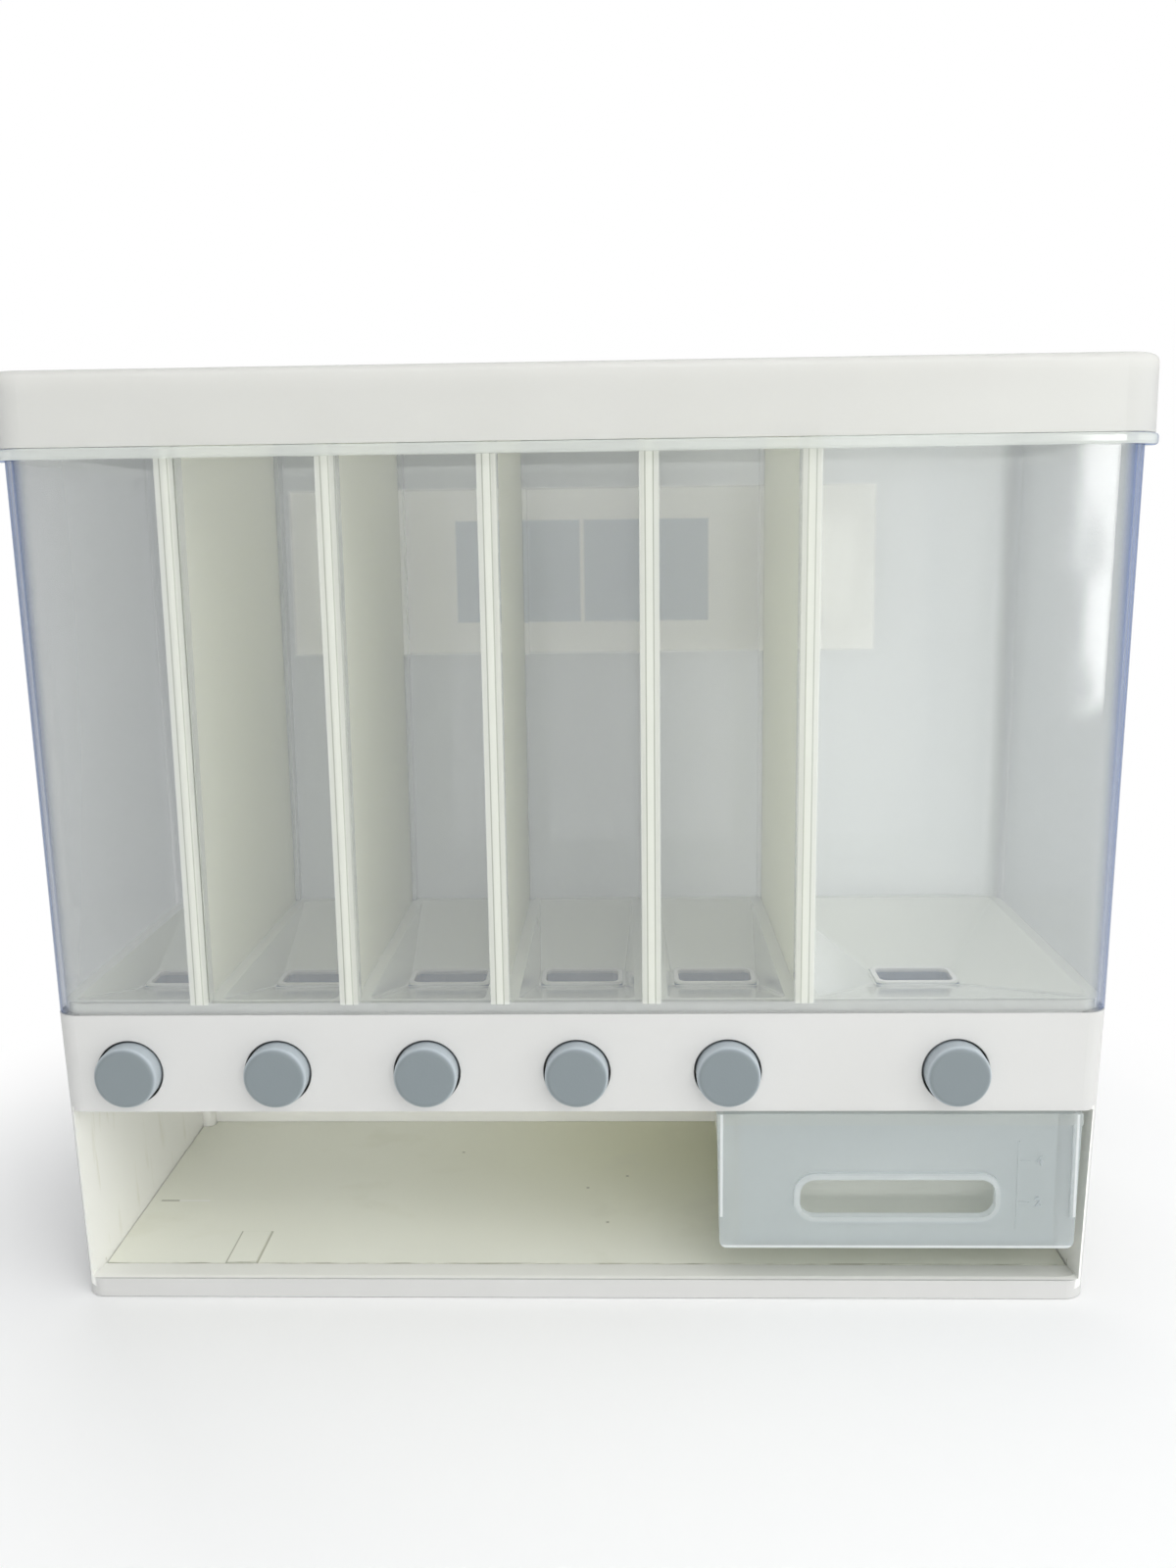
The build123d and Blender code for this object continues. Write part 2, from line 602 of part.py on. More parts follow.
# Buttons and gates
def make_button(x):
    cap = rod_y(BUTTON_RADIUS, (BUTTON_FRONT, BUTTON_BACK), x, BUTTON_Z)
    cap = fillet(cap.faces().sort_by(Axis.Y)[0].edges(), BUTTON_EDGE)
    cap -= rod_y(BUTTON_RADIUS - BUTTON_WALL, (CAP_INSIDE, BUTTON_BACK), x, BUTTON_Z)
    socket = (CAP_INSIDE, CAP_INSIDE + SOCKET_LENGTH)
    cap += rod_y(ROD_RADIUS + SOCKET_WALL, socket, x, BUTTON_Z)
    return cap - rod_y(ROD_RADIUS, socket, x, BUTTON_Z)


def make_gate(x):
    half = GATE_WIDTH / 2
    plate = block((x - half, x + half), (GATE_FRONT, GATE_BACK), (GATE_BOTTOM, GATE_TOP))
    window_back = -OUTLET_DEPTH / 2 - GATE_LAP
    window = (window_back - GATE_WINDOW, window_back)
    plate -= block((x - OUTLET_WIDTH / 2, x + OUTLET_WIDTH / 2), window, (GATE_BOTTOM, GATE_TOP))
    return plate + rod_y(ROD_RADIUS, (CAP_INSIDE, GATE_FRONT + GATE_NOSE / 2), x, BUTTON_Z)


# Springs
def helix_point(radius, pitch, turn):
    angle = 2 * math.pi * turn
    return Vector(radius * math.cos(angle), pitch * turn, radius * math.sin(angle))


def helix_tangent(radius, pitch, turn):
    angle = 2 * math.pi * turn
    rate = 2 * math.pi * radius
    return Vector(-rate * math.sin(angle), pitch, rate * math.cos(angle)).normalized()


def biarc(start, start_way, end, end_way):
    """Two tangent arcs that leave start and reach end in the given directions."""
    chord = end - start
    ways = start_way + end_way
    spread = 2 * (1 - start_way.dot(end_way))
    along = chord.dot(ways)
    reach = (math.sqrt(along ** 2 + spread * chord.dot(chord)) - along) / spread
    first = start + start_way * reach
    second = end - end_way * reach
    middle = (first + second) / 2
    return [
        TangentArc(start, middle, tangent=start_way),
        TangentArc(middle, end, tangent=second - first),
    ]


def make_spring(x):
    low = CAP_INSIDE + SPRING_GAP + SPRING_WIRE / 2
    high = STOP_Y - SPRING_GAP - SPRING_WIRE / 2
    pitch = (high - low) / SPRING_TURNS
    steps = [i / 4 for i in range(4 * SPRING_TURNS + 1)]
    arcs = []
    for a, b in zip(steps, steps[1:]):
        arcs += biarc(
            helix_point(SPRING_RADIUS, pitch, a),
            helix_tangent(SPRING_RADIUS, pitch, a),
            helix_point(SPRING_RADIUS, pitch, b),
            helix_tangent(SPRING_RADIUS, pitch, b),
        )
    path = Wire(arcs)
    start = Plane(helix_point(SPRING_RADIUS, pitch, 0), z_dir=helix_tangent(SPRING_RADIUS, pitch, 0))
    coil = sweep(start * Circle(SPRING_WIRE / 2), path=path)
    return Pos(x, low, BUTTON_Z) * coil


def spring_self_gap():
    """Least gap between neighbouring turns, measured on points of the wire's middle line."""
    pitch = (STOP_Y - CAP_INSIDE - 2 * SPRING_GAP - SPRING_WIRE) / SPRING_TURNS
    line = [helix_point(SPRING_RADIUS, pitch, i / 48) for i in range(48 * SPRING_TURNS + 1)]
    gaps = [(line[i] - line[j]).length for i in range(len(line)) for j in range(i + 24, len(line))]
    return min(gaps) - SPRING_WIRE


# Measuring cup
def make_cup():
    cup = make_cup_fascia() + make_cup_box() + make_cup_scale()
    slot = RectangleRounded(SLOT_WIDTH, SLOT_HEIGHT, SLOT_CORNER)
    reach = (FRONT_Y - SLOT_RIM_RELIEF, FRONT_Y + CUP_FASCIA)
    return cup - along_y(slot, reach, CUP_X, SLOT_Z)


def make_cup_fascia():
    top = CUP_WIDTH / 2
    low = top - CUP_TAPER
    height = CUP_TOP - CUP_BOTTOM
    outline = Polygon((-top, 0), (-low, -height), (low, -height), (top, 0), align=None)
    outline = fillet(outline.vertices().sort_by(Axis.Y)[:2], CUP_CORNER)
    fascia = along_y(outline, (FRONT_Y, FRONT_Y + CUP_FASCIA), CUP_X, CUP_TOP)
    band_width = (CUP_X - top, CUP_X + top)
    raised = (FRONT_Y - CUP_RELIEF, FRONT_Y)
    fascia += block(band_width, raised, (CUP_TOP - CUP_BAND, CUP_TOP))
    lip_length = (CUP_BOTTOM + CUP_LIP_RISE, CUP_TOP)
    for edge in (-1, 1):
        lip_out = CUP_X + edge * (top - CUP_TAPER)
        lip_in = lip_out - edge * CUP_LIP
        fascia += block((min(lip_in, lip_out), max(lip_in, lip_out)), raised, lip_length)
    rim_size = (SLOT_WIDTH + 2 * SLOT_RIM, SLOT_HEIGHT + 2 * SLOT_RIM)
    rim = RectangleRounded(*rim_size, SLOT_CORNER + SLOT_RIM)
    return fascia + along_y(rim, (FRONT_Y - SLOT_RIM_RELIEF, FRONT_Y), CUP_X, SLOT_Z)


def make_cup_box():
    bottom = CUP_BOTTOM
    front = FRONT_Y + CUP_FASCIA
    back = FRONT_Y + CUP_LENGTH
    middle = (front + back) / 2
    height = (bottom, FLANGE_TOP)
    outline = Rectangle(2 * CUP_BOX_HALF, back - front)
    rear = outline.vertices().sort_by(Axis.Y)[-2:]
    box = extrude(Pos(CUP_X, middle, bottom) * fillet(rear, CUP_BOX_CORNER), FLANGE_TOP - bottom)
    span = (CUP_X - CUP_BOX_HALF - CUP_FLANGE, CUP_X + CUP_BOX_HALF + CUP_FLANGE)
    box += block(span, (front, back - CUP_BOX_CORNER), (FLANGE_TOP - CUP_FLANGE_THICK, FLANGE_TOP))
    inner = (CUP_X - CUP_BOX_HALF + CUP_WALL, CUP_X + CUP_BOX_HALF - CUP_WALL)
    inside = (bottom + CUP_WALL, FLANGE_TOP)
    partition = FRONT_Y + CUP_FINGER_ROOM
    box -= block(inner, (front, partition), inside)
    hollow = block(inner, (partition + CUP_WALL, back - CUP_WALL), inside)
    rear_edges = hollow.edges().filter_by(Axis.Z).sort_by(Axis.Y)[-2:]
    return box - fillet(rear_edges, CUP_BOX_CORNER - CUP_WALL)


def make_cup_scale():
    """A raised scale line on the fascia with two ticks."""
    x = CUP_X + CUP_WIDTH / 2 - SCALE_INSET
    top = CUP_TOP - SCALE_TOP
    bottom = CUP_BOTTOM + SCALE_RISE
    depth = (FRONT_Y - SCALE_RELIEF, FRONT_Y)
    scale = block((x, x + SCALE_LINE), depth, (bottom, top))
    for z in (top - SCALE_TICK_DROP, bottom + SCALE_TICK_RISE):
        scale += block((x, x + SCALE_TICK), depth, (z - SCALE_LINE, z))
    return scale


# Wall plate
def make_wall_plate():
    back = PLATE_FRONT + PLATE_DEPTH
    skin = PLATE_FRONT + PLATE_SKIN
    outline = RectangleRounded(PLATE_WIDTH, PLATE_HEIGHT, PLATE_CORNER)
    plate = along_y(outline, (PLATE_FRONT, back), 0, PLATE_Z)
    inside = (PLATE_WIDTH - 2 * PLATE_WALL, PLATE_HEIGHT - 2 * PLATE_WALL)
    plate -= along_y(RectangleRounded(*inside, PLATE_CORNER - PLATE_WALL), (skin, back), 0, PLATE_Z)
    window = RectangleRounded(WINDOW_WIDTH, WINDOW_HEIGHT, OPENING_CORNER)
    pocket = RectangleRounded(POCKET_WIDTH, POCKET_HEIGHT, OPENING_CORNER)
    window_x = (WINDOW_WIDTH + WINDOW_BAR) / 2
    for side in (-1, 1):
        plate -= along_y(window, (PLATE_FRONT, skin), side * window_x, PLATE_Z)
        plate -= along_y(pocket, (PLATE_FRONT, skin), side * POCKET_X, PLATE_Z)
        for rise in (-1, 1):
            x = side * WALL_SCREW_SPACING_X / 2
            z = PLATE_Z + rise * WALL_SCREW_SPACING_Z / 2
            plate += rod_y(WALL_SCREW_BOSS, (skin, back), x, z)
            plate -= rod_y(WALL_SCREW_RADIUS, (PLATE_FRONT, back), x, z)
    return plate


def make_wall_pad():
    """Foam pad that fills the plate's hollow behind both windows."""
    half = WINDOW_WIDTH + WINDOW_BAR / 2 + PAD_MARGIN
    rise = WINDOW_HEIGHT / 2 + PAD_MARGIN
    depth = (PLATE_FRONT + PLATE_SKIN, PLATE_FRONT + PLATE_DEPTH)
    return block((-half, half), depth, (PLATE_Z - rise, PLATE_Z + rise))


def make_parts():
    parts = {
        "container": make_container(),
        "hopper_floor": make_hopper_floor(),
        "lid": make_lid(),
        "lid_seal": make_seal(),
        "base_frame": make_base_frame(),
        "base_floor": make_base_floor(),
        "valve_deck": make_valve_deck(),
        "deck_screws": make_deck_screws(),
        "measuring_cup": make_cup(),
        "wall_plate": make_wall_plate(),
        "wall_pad": make_wall_pad(),
    }
    for i, x in enumerate(DIVIDER_X, start=1):
        parts[f"divider_{i}"] = make_divider(x)
    for i, x in enumerate(OUTLET_X, start=1):
        parts[f"button_{i}"] = make_button(x)
        parts[f"gate_{i}"] = make_gate(x)
        parts[f"spring_{i}"] = make_spring(x)
    return parts


print(f"spring turns clear each other by {spring_self_gap():.2f} mm")
os.makedirs("parts", exist_ok=True)
for name, part in make_parts().items():
    export_step(part, f"parts/{name}.step")
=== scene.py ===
# %% [markdown]
# # A six-compartment grain dispenser, dressed for the studio
#
# The CAD model already holds every moulded piece at its real size. This lesson gives those pieces the
# finishes that the real mouldings have, adds the small parts that a mesh shows better than a solid,
# and sets up the light and the camera. Everything is in metres, with the front of the dispenser
# facing the viewer along -Y.

# %% Load the fixed frame
import math

import bpy
from mathutils import Matrix, Vector


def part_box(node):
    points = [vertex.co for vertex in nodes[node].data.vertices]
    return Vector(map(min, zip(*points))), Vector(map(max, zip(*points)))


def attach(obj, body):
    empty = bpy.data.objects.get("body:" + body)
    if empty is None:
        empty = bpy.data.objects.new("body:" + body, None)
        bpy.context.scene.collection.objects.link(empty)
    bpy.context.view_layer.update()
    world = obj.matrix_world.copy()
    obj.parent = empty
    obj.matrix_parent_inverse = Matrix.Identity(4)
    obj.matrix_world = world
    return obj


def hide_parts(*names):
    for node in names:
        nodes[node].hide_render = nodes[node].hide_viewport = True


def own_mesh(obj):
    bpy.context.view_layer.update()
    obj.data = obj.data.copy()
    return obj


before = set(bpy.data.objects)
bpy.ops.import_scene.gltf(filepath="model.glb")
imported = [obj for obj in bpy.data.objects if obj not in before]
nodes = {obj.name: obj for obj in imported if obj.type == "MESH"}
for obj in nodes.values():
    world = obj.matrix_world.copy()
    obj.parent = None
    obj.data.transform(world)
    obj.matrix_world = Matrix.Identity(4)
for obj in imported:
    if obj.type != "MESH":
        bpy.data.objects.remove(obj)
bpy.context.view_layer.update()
MM = 0.001

# %% [markdown]
# ## Colours and nodes
#
# Paint charts and photos give colours in sRGB, but a shader works in linear light, so one function
# turns a hex value into linear numbers. A second one adds a node with its settings and links, and a
# third starts a material, which keeps each finish short enough to read as a recipe.


# %% Three helpers
def linear(hex_colour):
    """Linear RGBA of an sRGB hex colour."""
    channels = [int(hex_colour[i:i + 2], 16) / 255 for i in (1, 3, 5)]
    light = [c / 12.92 if c <= 0.04045 else ((c + 0.055) / 1.055) ** 2.4 for c in channels]
    return (*light, 1.0)


def add_node(tree, kind, settings=None, inputs=None):
    """Add a node; an input that is a socket becomes a link, and any other input a value."""
    node = tree.nodes.new(kind)
    for name, value in (settings or {}).items():
        setattr(node, name, value)
    for socket, value in (inputs or {}).items():
        if isinstance(value, bpy.types.NodeSocket):
            tree.links.new(value, node.inputs[socket])
        else:
            node.inputs[socket].default_value = value
    return node


def start_finish(name, roughness, ior=1.5):
    """A new material with its shader, and the place on the piece that patterns are laid out by."""
    material = bpy.data.materials.new(name)
    material.use_nodes = True
    tree = material.node_tree
    shader = tree.nodes["Principled BSDF"]
    shader.inputs["Roughness"].default_value = roughness
    shader.inputs["IOR"].default_value = ior
    place = add_node(tree, "ShaderNodeTexCoord").outputs["Object"]
    return material, tree, shader, place


print("white as linear light:", linear("#ffffff"))

# %% [markdown]
# ## Moulded white plastic
#
# The base, the inner parts and the wall plate are injection-moulded ABS. The mould is spark-eroded, so
# the skin has a very fine grain that spreads the highlights, and the white is never quite even: the
# wall thickness changes a little, and handling leaves it slightly warmer in places. Grain of 0.1 mm is
# too fine for the picture, so it is drawn at about 0.7 mm.

# %% Moulded plastic, used by several pieces
GRAIN = 0.7 * MM
SHADE_PATCH = 60 * MM


def moulded_plastic(name, colour, shade, roughness, grain_depth):
    """Even plastic with a faint change of shade over some centimetres and a fine grain."""
    material, tree, shader, place = start_finish(name, roughness)
    patch = add_node(tree, "ShaderNodeTexNoise", inputs={"Vector": place, "Scale": 1 / SHADE_PATCH})
    mix = add_node(
        tree,
        "ShaderNodeMix",
        {"data_type": "RGBA"},
        {0: patch.outputs["Fac"], 6: linear(colour), 7: linear(shade)},
    )
    tree.links.new(mix.outputs[2], shader.inputs["Base Color"])
    grain = add_node(tree, "ShaderNodeTexNoise", inputs={"Vector": place, "Scale": 1 / GRAIN})
    bump = add_node(
        tree,
        "ShaderNodeBump",
        inputs={"Height": grain.outputs["Fac"], "Strength": grain_depth, "Distance": 0.1 * MM},
    )
    tree.links.new(bump.outputs["Normal"], shader.inputs["Normal"])
    return material, tree, shader, place, mix


inner_white = moulded_plastic("moulded_ABS_inner_white", "#F3F4F0", "#EDEEE8", 0.45, 0.3)[0]
plate_white = moulded_plastic("moulded_ABS_plate_white", "#EDEDEA", "#E6E7E3", 0.4, 0.3)[0]
print("made", inner_white.name, "and", plate_white.name)

# %% [markdown]
# ## The base, with a little use on it
#
# The base is the same white plastic, but it has been handled: dust settles along the seam where the
# bay's floor meets the front rail, and faint streaks run down inside the left wall. A mask chooses
# where a mark may be, by its place on the piece, and noise breaks it up so that it looks like dirt and
# not like a drawn line. The inside of the bay is painted a paler white than the outer faces, as painted
# light, and the walls of the button holes are painted dark grey, as painted shade.


# %% Masks by place
def inside_box(tree, place, low, high, soft, corner=0.0):
    """A mask that is 1 inside an upright box, with round corners if wanted, and fades over a soft edge."""
    middle = [(a + b) / 2 for a, b in zip(low, high)]
    half = [(b - a) / 2 - corner for a, b in zip(low, high)]
    away = add_node(tree, "ShaderNodeVectorMath", {"operation": "SUBTRACT"}, {0: place, 1: middle})
    away = add_node(tree, "ShaderNodeVectorMath", {"operation": "ABSOLUTE"}, {0: away.outputs[0]})
    over = add_node(tree, "ShaderNodeVectorMath", {"operation": "SUBTRACT"}, {0: away.outputs[0], 1: half})
    if corner:
        beyond = add_node(
            tree,
            "ShaderNodeVectorMath",
            {"operation": "MAXIMUM"},
            {0: over.outputs[0], 1: (0, 0, 0)},
        )
        distance = add_node(tree, "ShaderNodeVectorMath", {"operation": "LENGTH"}, {0: beyond.outputs[0]})
        distance = distance.outputs["Value"]
    else:
        parts = add_node(tree, "ShaderNodeSeparateXYZ", inputs={0: over.outputs[0]})
        distance = parts.outputs[0]
        for axis in (1, 2):
            distance = add_node(
                tree,
                "ShaderNodeMath",
                {"operation": "MAXIMUM"},
                {0: distance, 1: parts.outputs[axis]},
            ).outputs[0]
    mask = add_node(
        tree,
        "ShaderNodeMapRange",
        {"interpolation_type": "SMOOTHSTEP"},
        {0: distance, 1: corner - soft, 2: corner + soft, 3: 1.0, 4: 0.0},
    )
    return mask.outputs[0]


def broken_up(tree, place, mask, stretch, size, keep):
    """Break a mask into blotches: noise of a given size, stretched along an axis."""
    mapped = add_node(tree, "ShaderNodeMapping", inputs={"Vector": place, "Scale": stretch})
    noise = add_node(
        tree,
        "ShaderNodeTexNoise",
        inputs={"Vector": mapped.outputs[0], "Scale": 1 / size, "Detail": 4.0},
    )
    spots = add_node(tree, "ShaderNodeMapRange", inputs={0: noise.outputs["Fac"], 1: keep, 2: keep + 0.2})
    both = add_node(tree, "ShaderNodeMath", {"operation": "MULTIPLY"}, {0: mask, 1: spots.outputs[0]})
    return both.outputs[0]


def lay_over(tree, shader, under, mask, colour):
    """Lay a colour over what is there, where the mask is."""
    mix = add_node(tree, "ShaderNodeMix", {"data_type": "RGBA"}, {0: mask, 6: under, 7: linear(colour)})
    tree.links.new(mix.outputs[2], shader.inputs["Base Color"])
    return mix.outputs[2]


def beside_buttons(tree, place):
    """Place measured from the nearest button's middle, so that six places can share one pattern."""
    axes = add_node(tree, "ShaderNodeSeparateXYZ", inputs={0: place})
    nearest = None
    for number in range(1, 7):
        low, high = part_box(f"button_{number}")
        away = add_node(
            tree,
            "ShaderNodeMath",
            {"operation": "SUBTRACT"},
            {0: axes.outputs["X"], 1: (low.x + high.x) / 2},
        )
        away = add_node(tree, "ShaderNodeMath", {"operation": "ABSOLUTE"}, {0: away.outputs[0]}).outputs[0]
        if nearest is not None:
            away = add_node(
                tree,
                "ShaderNodeMath",
                {"operation": "MINIMUM"},
                {0: nearest, 1: away},
            ).outputs[0]
        nearest = away
    height = add_node(
        tree,
        "ShaderNodeMath",
        {"operation": "SUBTRACT"},
        {0: axes.outputs["Z"], 1: (low.z + high.z) / 2},
    )
    local = add_node(
        tree,
        "ShaderNodeCombineXYZ",
        inputs={0: nearest, 1: axes.outputs["Y"], 2: height.outputs[0]},
    )
    return local.outputs[0]


base_low, base_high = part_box("base_frame")
button_low, button_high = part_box("button_1")
button_middle = (button_low + button_high) / 2
BUTTON_GAP = 0.7 * MM
HOLE_RADIUS = (button_high.x - button_low.x) / 2 + BUTTON_GAP
floor_low, floor_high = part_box("base_floor")
print("bay floor front seam at", round(floor_low.y / MM, 1), "mm")

# %% Base plastic
SEAM_REACH = 0.3 * MM
SEAM_LOW, SEAM_HIGH = 4 * MM, 8 * MM
STREAK_WIDTH = 5 * MM
STREAK_LOW, STREAK_HIGH = 10 * MM, 76 * MM
STREAK_FRONT, STREAK_BACK = base_low.y + 8 * MM, base_high.y - 10 * MM
BASE_WALL = 3 * MM
FRONT_EDGE = 1.9 * MM
SIDE_LEAN = 3.5 * MM
BACK_LEAN = 1 * MM
BACK_SKIN = 1 * MM
BASE_ROUND = 6.5 * MM
BAY_EDGE = 0.4 * MM
BAY_TOP = 80 * MM
PANEL_DEPTH = 12 * MM
HOLE_SOFT = 0.3 * MM

base_white, tree, shader, place, shaded = moulded_plastic(
    "moulded_ABS_base_white", "#C8C8C6", "#C3C3C0", 0.34, 0.25
)
seam = inside_box(
    tree,
    place,
    (base_low.x, floor_low.y - 2 * SEAM_REACH, SEAM_LOW),
    (base_high.x, floor_low.y + SEAM_REACH, SEAM_HIGH),
    SEAM_REACH,
)
axes = add_node(tree, "ShaderNodeSeparateXYZ", inputs={0: place})
across = add_node(tree, "ShaderNodeMath", {"operation": "ABSOLUTE"}, {0: axes.outputs["X"]})
upright = add_node(
    tree,
    "ShaderNodeMath",
    {"operation": "MULTIPLY_ADD"},
    {0: axes.outputs["Z"], 1: -SIDE_LEAN / base_high.z, 2: across.outputs[0]},
)
straight = add_node(
    tree,
    "ShaderNodeCombineXYZ",
    inputs={0: upright.outputs[0], 1: axes.outputs["Y"], 2: axes.outputs["Z"]},
)
wall_x = base_high.x - SIDE_LEAN - BASE_WALL * 0.5
wall_y = base_high.y - BACK_LEAN - BACK_SKIN
bay_inside = inside_box(
    tree,
    straight.outputs[0],
    (base_low.x, base_low.y + FRONT_EDGE, SEAM_LOW),
    (wall_x, wall_y, BAY_TOP),
    BAY_EDGE,
)
within_corners = inside_box(
    tree,
    straight.outputs[0],
    (base_low.x, base_low.y - BAY_EDGE, -BASE_ROUND),
    (wall_x, wall_y, base_high.z),
    BAY_EDGE,
    BASE_ROUND,
)
bay_inside = add_node(
    tree,
    "ShaderNodeMath",
    {"operation": "MULTIPLY"},
    {0: bay_inside, 1: within_corners},
).outputs[0]
# The inside of the bay is painted a paler white than the base's outer faces: painted light in the bay.
bay_painted_light = lay_over(tree, shader, shaded.outputs[2], bay_inside, "#F7F7F2")
seam_dirt = broken_up(tree, place, seam, (1, 6, 6), 9 * MM, 0.45)
colour = lay_over(tree, shader, bay_painted_light, seam_dirt, "#D0CFC0")
left_wall = inside_box(
    tree,
    place,
    (base_low.x + BASE_WALL * 0.5, STREAK_FRONT, STREAK_LOW),
    (base_low.x + BASE_WALL * 3, STREAK_BACK, STREAK_HIGH),
    STREAK_WIDTH,
)
streaks = broken_up(tree, place, left_wall, (1, 1, 0.15), STREAK_WIDTH, 0.6)
streaks = add_node(tree, "ShaderNodeMath", {"operation": "MULTIPLY"}, {0: streaks, 1: bay_inside})
colour = lay_over(tree, shader, colour, streaks.outputs[0], "#E6E5D8")
# Round each button the wall of its hole is painted dark grey: painted shade in the gap between button and
# panel.
at_button = beside_buttons(tree, place)
from_axis = add_node(
    tree,
    "ShaderNodeVectorMath",
    {"operation": "MULTIPLY"},
    {0: at_button, 1: (1, 0, 1)},
)
from_axis = add_node(tree, "ShaderNodeVectorMath", {"operation": "LENGTH"}, {0: from_axis.outputs[0]})
hole = add_node(
    tree,
    "ShaderNodeMapRange",
    inputs={0: from_axis.outputs["Value"], 1: HOLE_RADIUS, 2: HOLE_RADIUS + HOLE_SOFT, 3: 1.0, 4: 0.0},
)
panel = inside_box(
    tree,
    place,
    (base_low.x, base_low.y - PANEL_DEPTH, base_low.z),
    (base_high.x, base_low.y + PANEL_DEPTH, base_high.z),
    0.5 * MM,
)
hole_wall_shade = add_node(tree, "ShaderNodeMath", {"operation": "MULTIPLY"}, {0: hole.outputs[0], 1: panel})
lay_over(tree, shader, colour, hole_wall_shade.outputs[0], "#4E5254")
print("made", base_white.name)

# %% [markdown]
# ## The bay's floor
#
# The floor is a separate plate with a raised tab at its front. It is painted darker and more olive
# towards the right and the back, as painted shade deep in the bay and beside the cup; dust lies along
# its front edge, a few specks show, and a thin white line with a darker end lies near the left wall.
# A frame-shaped mask draws the shade round the tab, and later the frames of the outlets and the rim of
# the cup's slot.


# %% Outline of a patch
def around_box(tree, place, low, high, width, soft, through, corner=0.0):
    """A mask of a frame: inside a box that is larger by a width, and outside the box itself."""
    reach = 1.0
    grown = [low[i] - width if i != through else low[i] - reach for i in range(3)]
    grown_to = [high[i] + width if i != through else high[i] + reach for i in range(3)]
    outer = inside_box(tree, place, grown, grown_to, soft, corner + width if corner else 0.0)
    deep = [low[i] if i != through else low[i] - reach for i in range(3)]
    deep_to = [high[i] if i != through else high[i] + reach for i in range(3)]
    inner = inside_box(tree, place, deep, deep_to, soft, corner)
    ring = add_node(
        tree,
        "ShaderNodeMath",
        {"operation": "SUBTRACT", "use_clamp": True},
        {0: outer, 1: inner},
    )
    within = inside_box(
        tree,
        place,
        [low[i] if i == through else low[i] - reach for i in range(3)],
        [high[i] if i == through else high[i] + reach for i in range(3)],
        soft,
    )
    ring = add_node(tree, "ShaderNodeMath", {"operation": "MULTIPLY"}, {0: ring.outputs[0], 1: within})
    return ring.outputs[0]


FORE_AND_AFT, UP = 1, 2
TAB_STEP = 2 * MM
raised = [v.co for v in nodes["base_floor"].data.vertices if v.co.z > floor_high.z - 0.1 * MM]
tab_low = [min(p[i] for p in raised) for i in range(3)]
tab_low[UP] -= TAB_STEP
tab_high = [max(p[i] for p in raised) for i in range(3)]
print("raised tab from", [round(v / MM, 1) for v in tab_low], "to", [round(v / MM, 1) for v in tab_high])

# %% Bay floor plastic
MARK_LOW = (-191 * MM, -8.9 * MM, 3 * MM)
MARK_HIGH = (-169 * MM, -8.1 * MM, 8 * MM)
DARK_END_LENGTH = 8 * MM
SPECKS = ((1, 3.4), (10.3, -26.7), (19, 14.4), (-60, 38))
SPECK_REACH = 0.5 * MM
TAB_LINE = 0.8 * MM
DUST_LOW, DUST_HIGH = 3 * MM, 8 * MM
SHADE_LEFT, SHADE_RIGHT = -120 * MM, 60 * MM
SHADE_FRONT, SHADE_BACK = -70 * MM, 50 * MM

bay_floor, tree, shader, place, shaded = moulded_plastic(
    "moulded_ABS_bay_floor", "#F8F9EE", "#F3F4E7", 0.38, 0.25
)
axes = add_node(tree, "ShaderNodeSeparateXYZ", inputs={0: place})
rightward = add_node(
    tree,
    "ShaderNodeMapRange",
    {"interpolation_type": "SMOOTHSTEP"},
    {0: axes.outputs["X"], 1: SHADE_LEFT, 2: SHADE_RIGHT},
)
inward = add_node(
    tree,
    "ShaderNodeMapRange",
    {"interpolation_type": "SMOOTHSTEP"},
    {0: axes.outputs["Y"], 1: SHADE_FRONT, 2: SHADE_BACK},
)
right_back_shade = add_node(
    tree,
    "ShaderNodeMath",
    {"operation": "MULTIPLY"},
    {0: rightward.outputs[0], 1: inward.outputs[0]},
)
# Darker and more olive towards the right and the back: painted shade deep in the bay and beside the cup.
colour = lay_over(tree, shader, shaded.outputs[2], right_back_shade.outputs[0], "#EFEFD2")
edge = inside_box(
    tree,
    place,
    (floor_low.x, floor_low.y - SEAM_REACH, DUST_LOW),
    (floor_high.x, floor_low.y + 2 * SEAM_REACH, DUST_HIGH),
    SEAM_REACH,
)
edge_dirt = broken_up(tree, place, edge, (1, 8, 8), 12 * MM, 0.42)
colour = lay_over(tree, shader, colour, edge_dirt, "#C4C3B2")
whole = inside_box(tree, place, tuple(floor_low), tuple(floor_high), 4 * MM)
scuffs = broken_up(tree, place, whole, (0.6, 0.8, 1), 24 * MM, 0.6)
colour = lay_over(tree, shader, colour, scuffs, "#E8E8D6")
tab_line = around_box(tree, place, tab_low, tab_high, TAB_LINE, 0.25 * MM, UP)
colour = lay_over(tree, shader, colour, tab_line, "#BEBEAE")
# A thin white line across the floor near the left wall, with a darker patch over its left end.
mark = inside_box(tree, place, MARK_LOW, MARK_HIGH, 0.3 * MM)
colour = lay_over(tree, shader, colour, mark, "#FFFFFC")
dark_end_high = (MARK_LOW[0] + DARK_END_LENGTH, MARK_HIGH[1], MARK_HIGH[2])
dark_end = inside_box(tree, place, MARK_LOW, dark_end_high, 0.5 * MM)
colour = lay_over(tree, shader, colour, dark_end, "#9C9B88")
for x, y in SPECKS:
    speck_low = (x * MM - SPECK_REACH, y * MM - SPECK_REACH, DUST_LOW)
    speck_high = (x * MM + SPECK_REACH, y * MM + SPECK_REACH, DUST_HIGH)
    speck = inside_box(tree, place, speck_low, speck_high, SPECK_REACH)
    colour = lay_over(tree, shader, colour, speck, "#A9A996")
print("made", bay_floor.name)
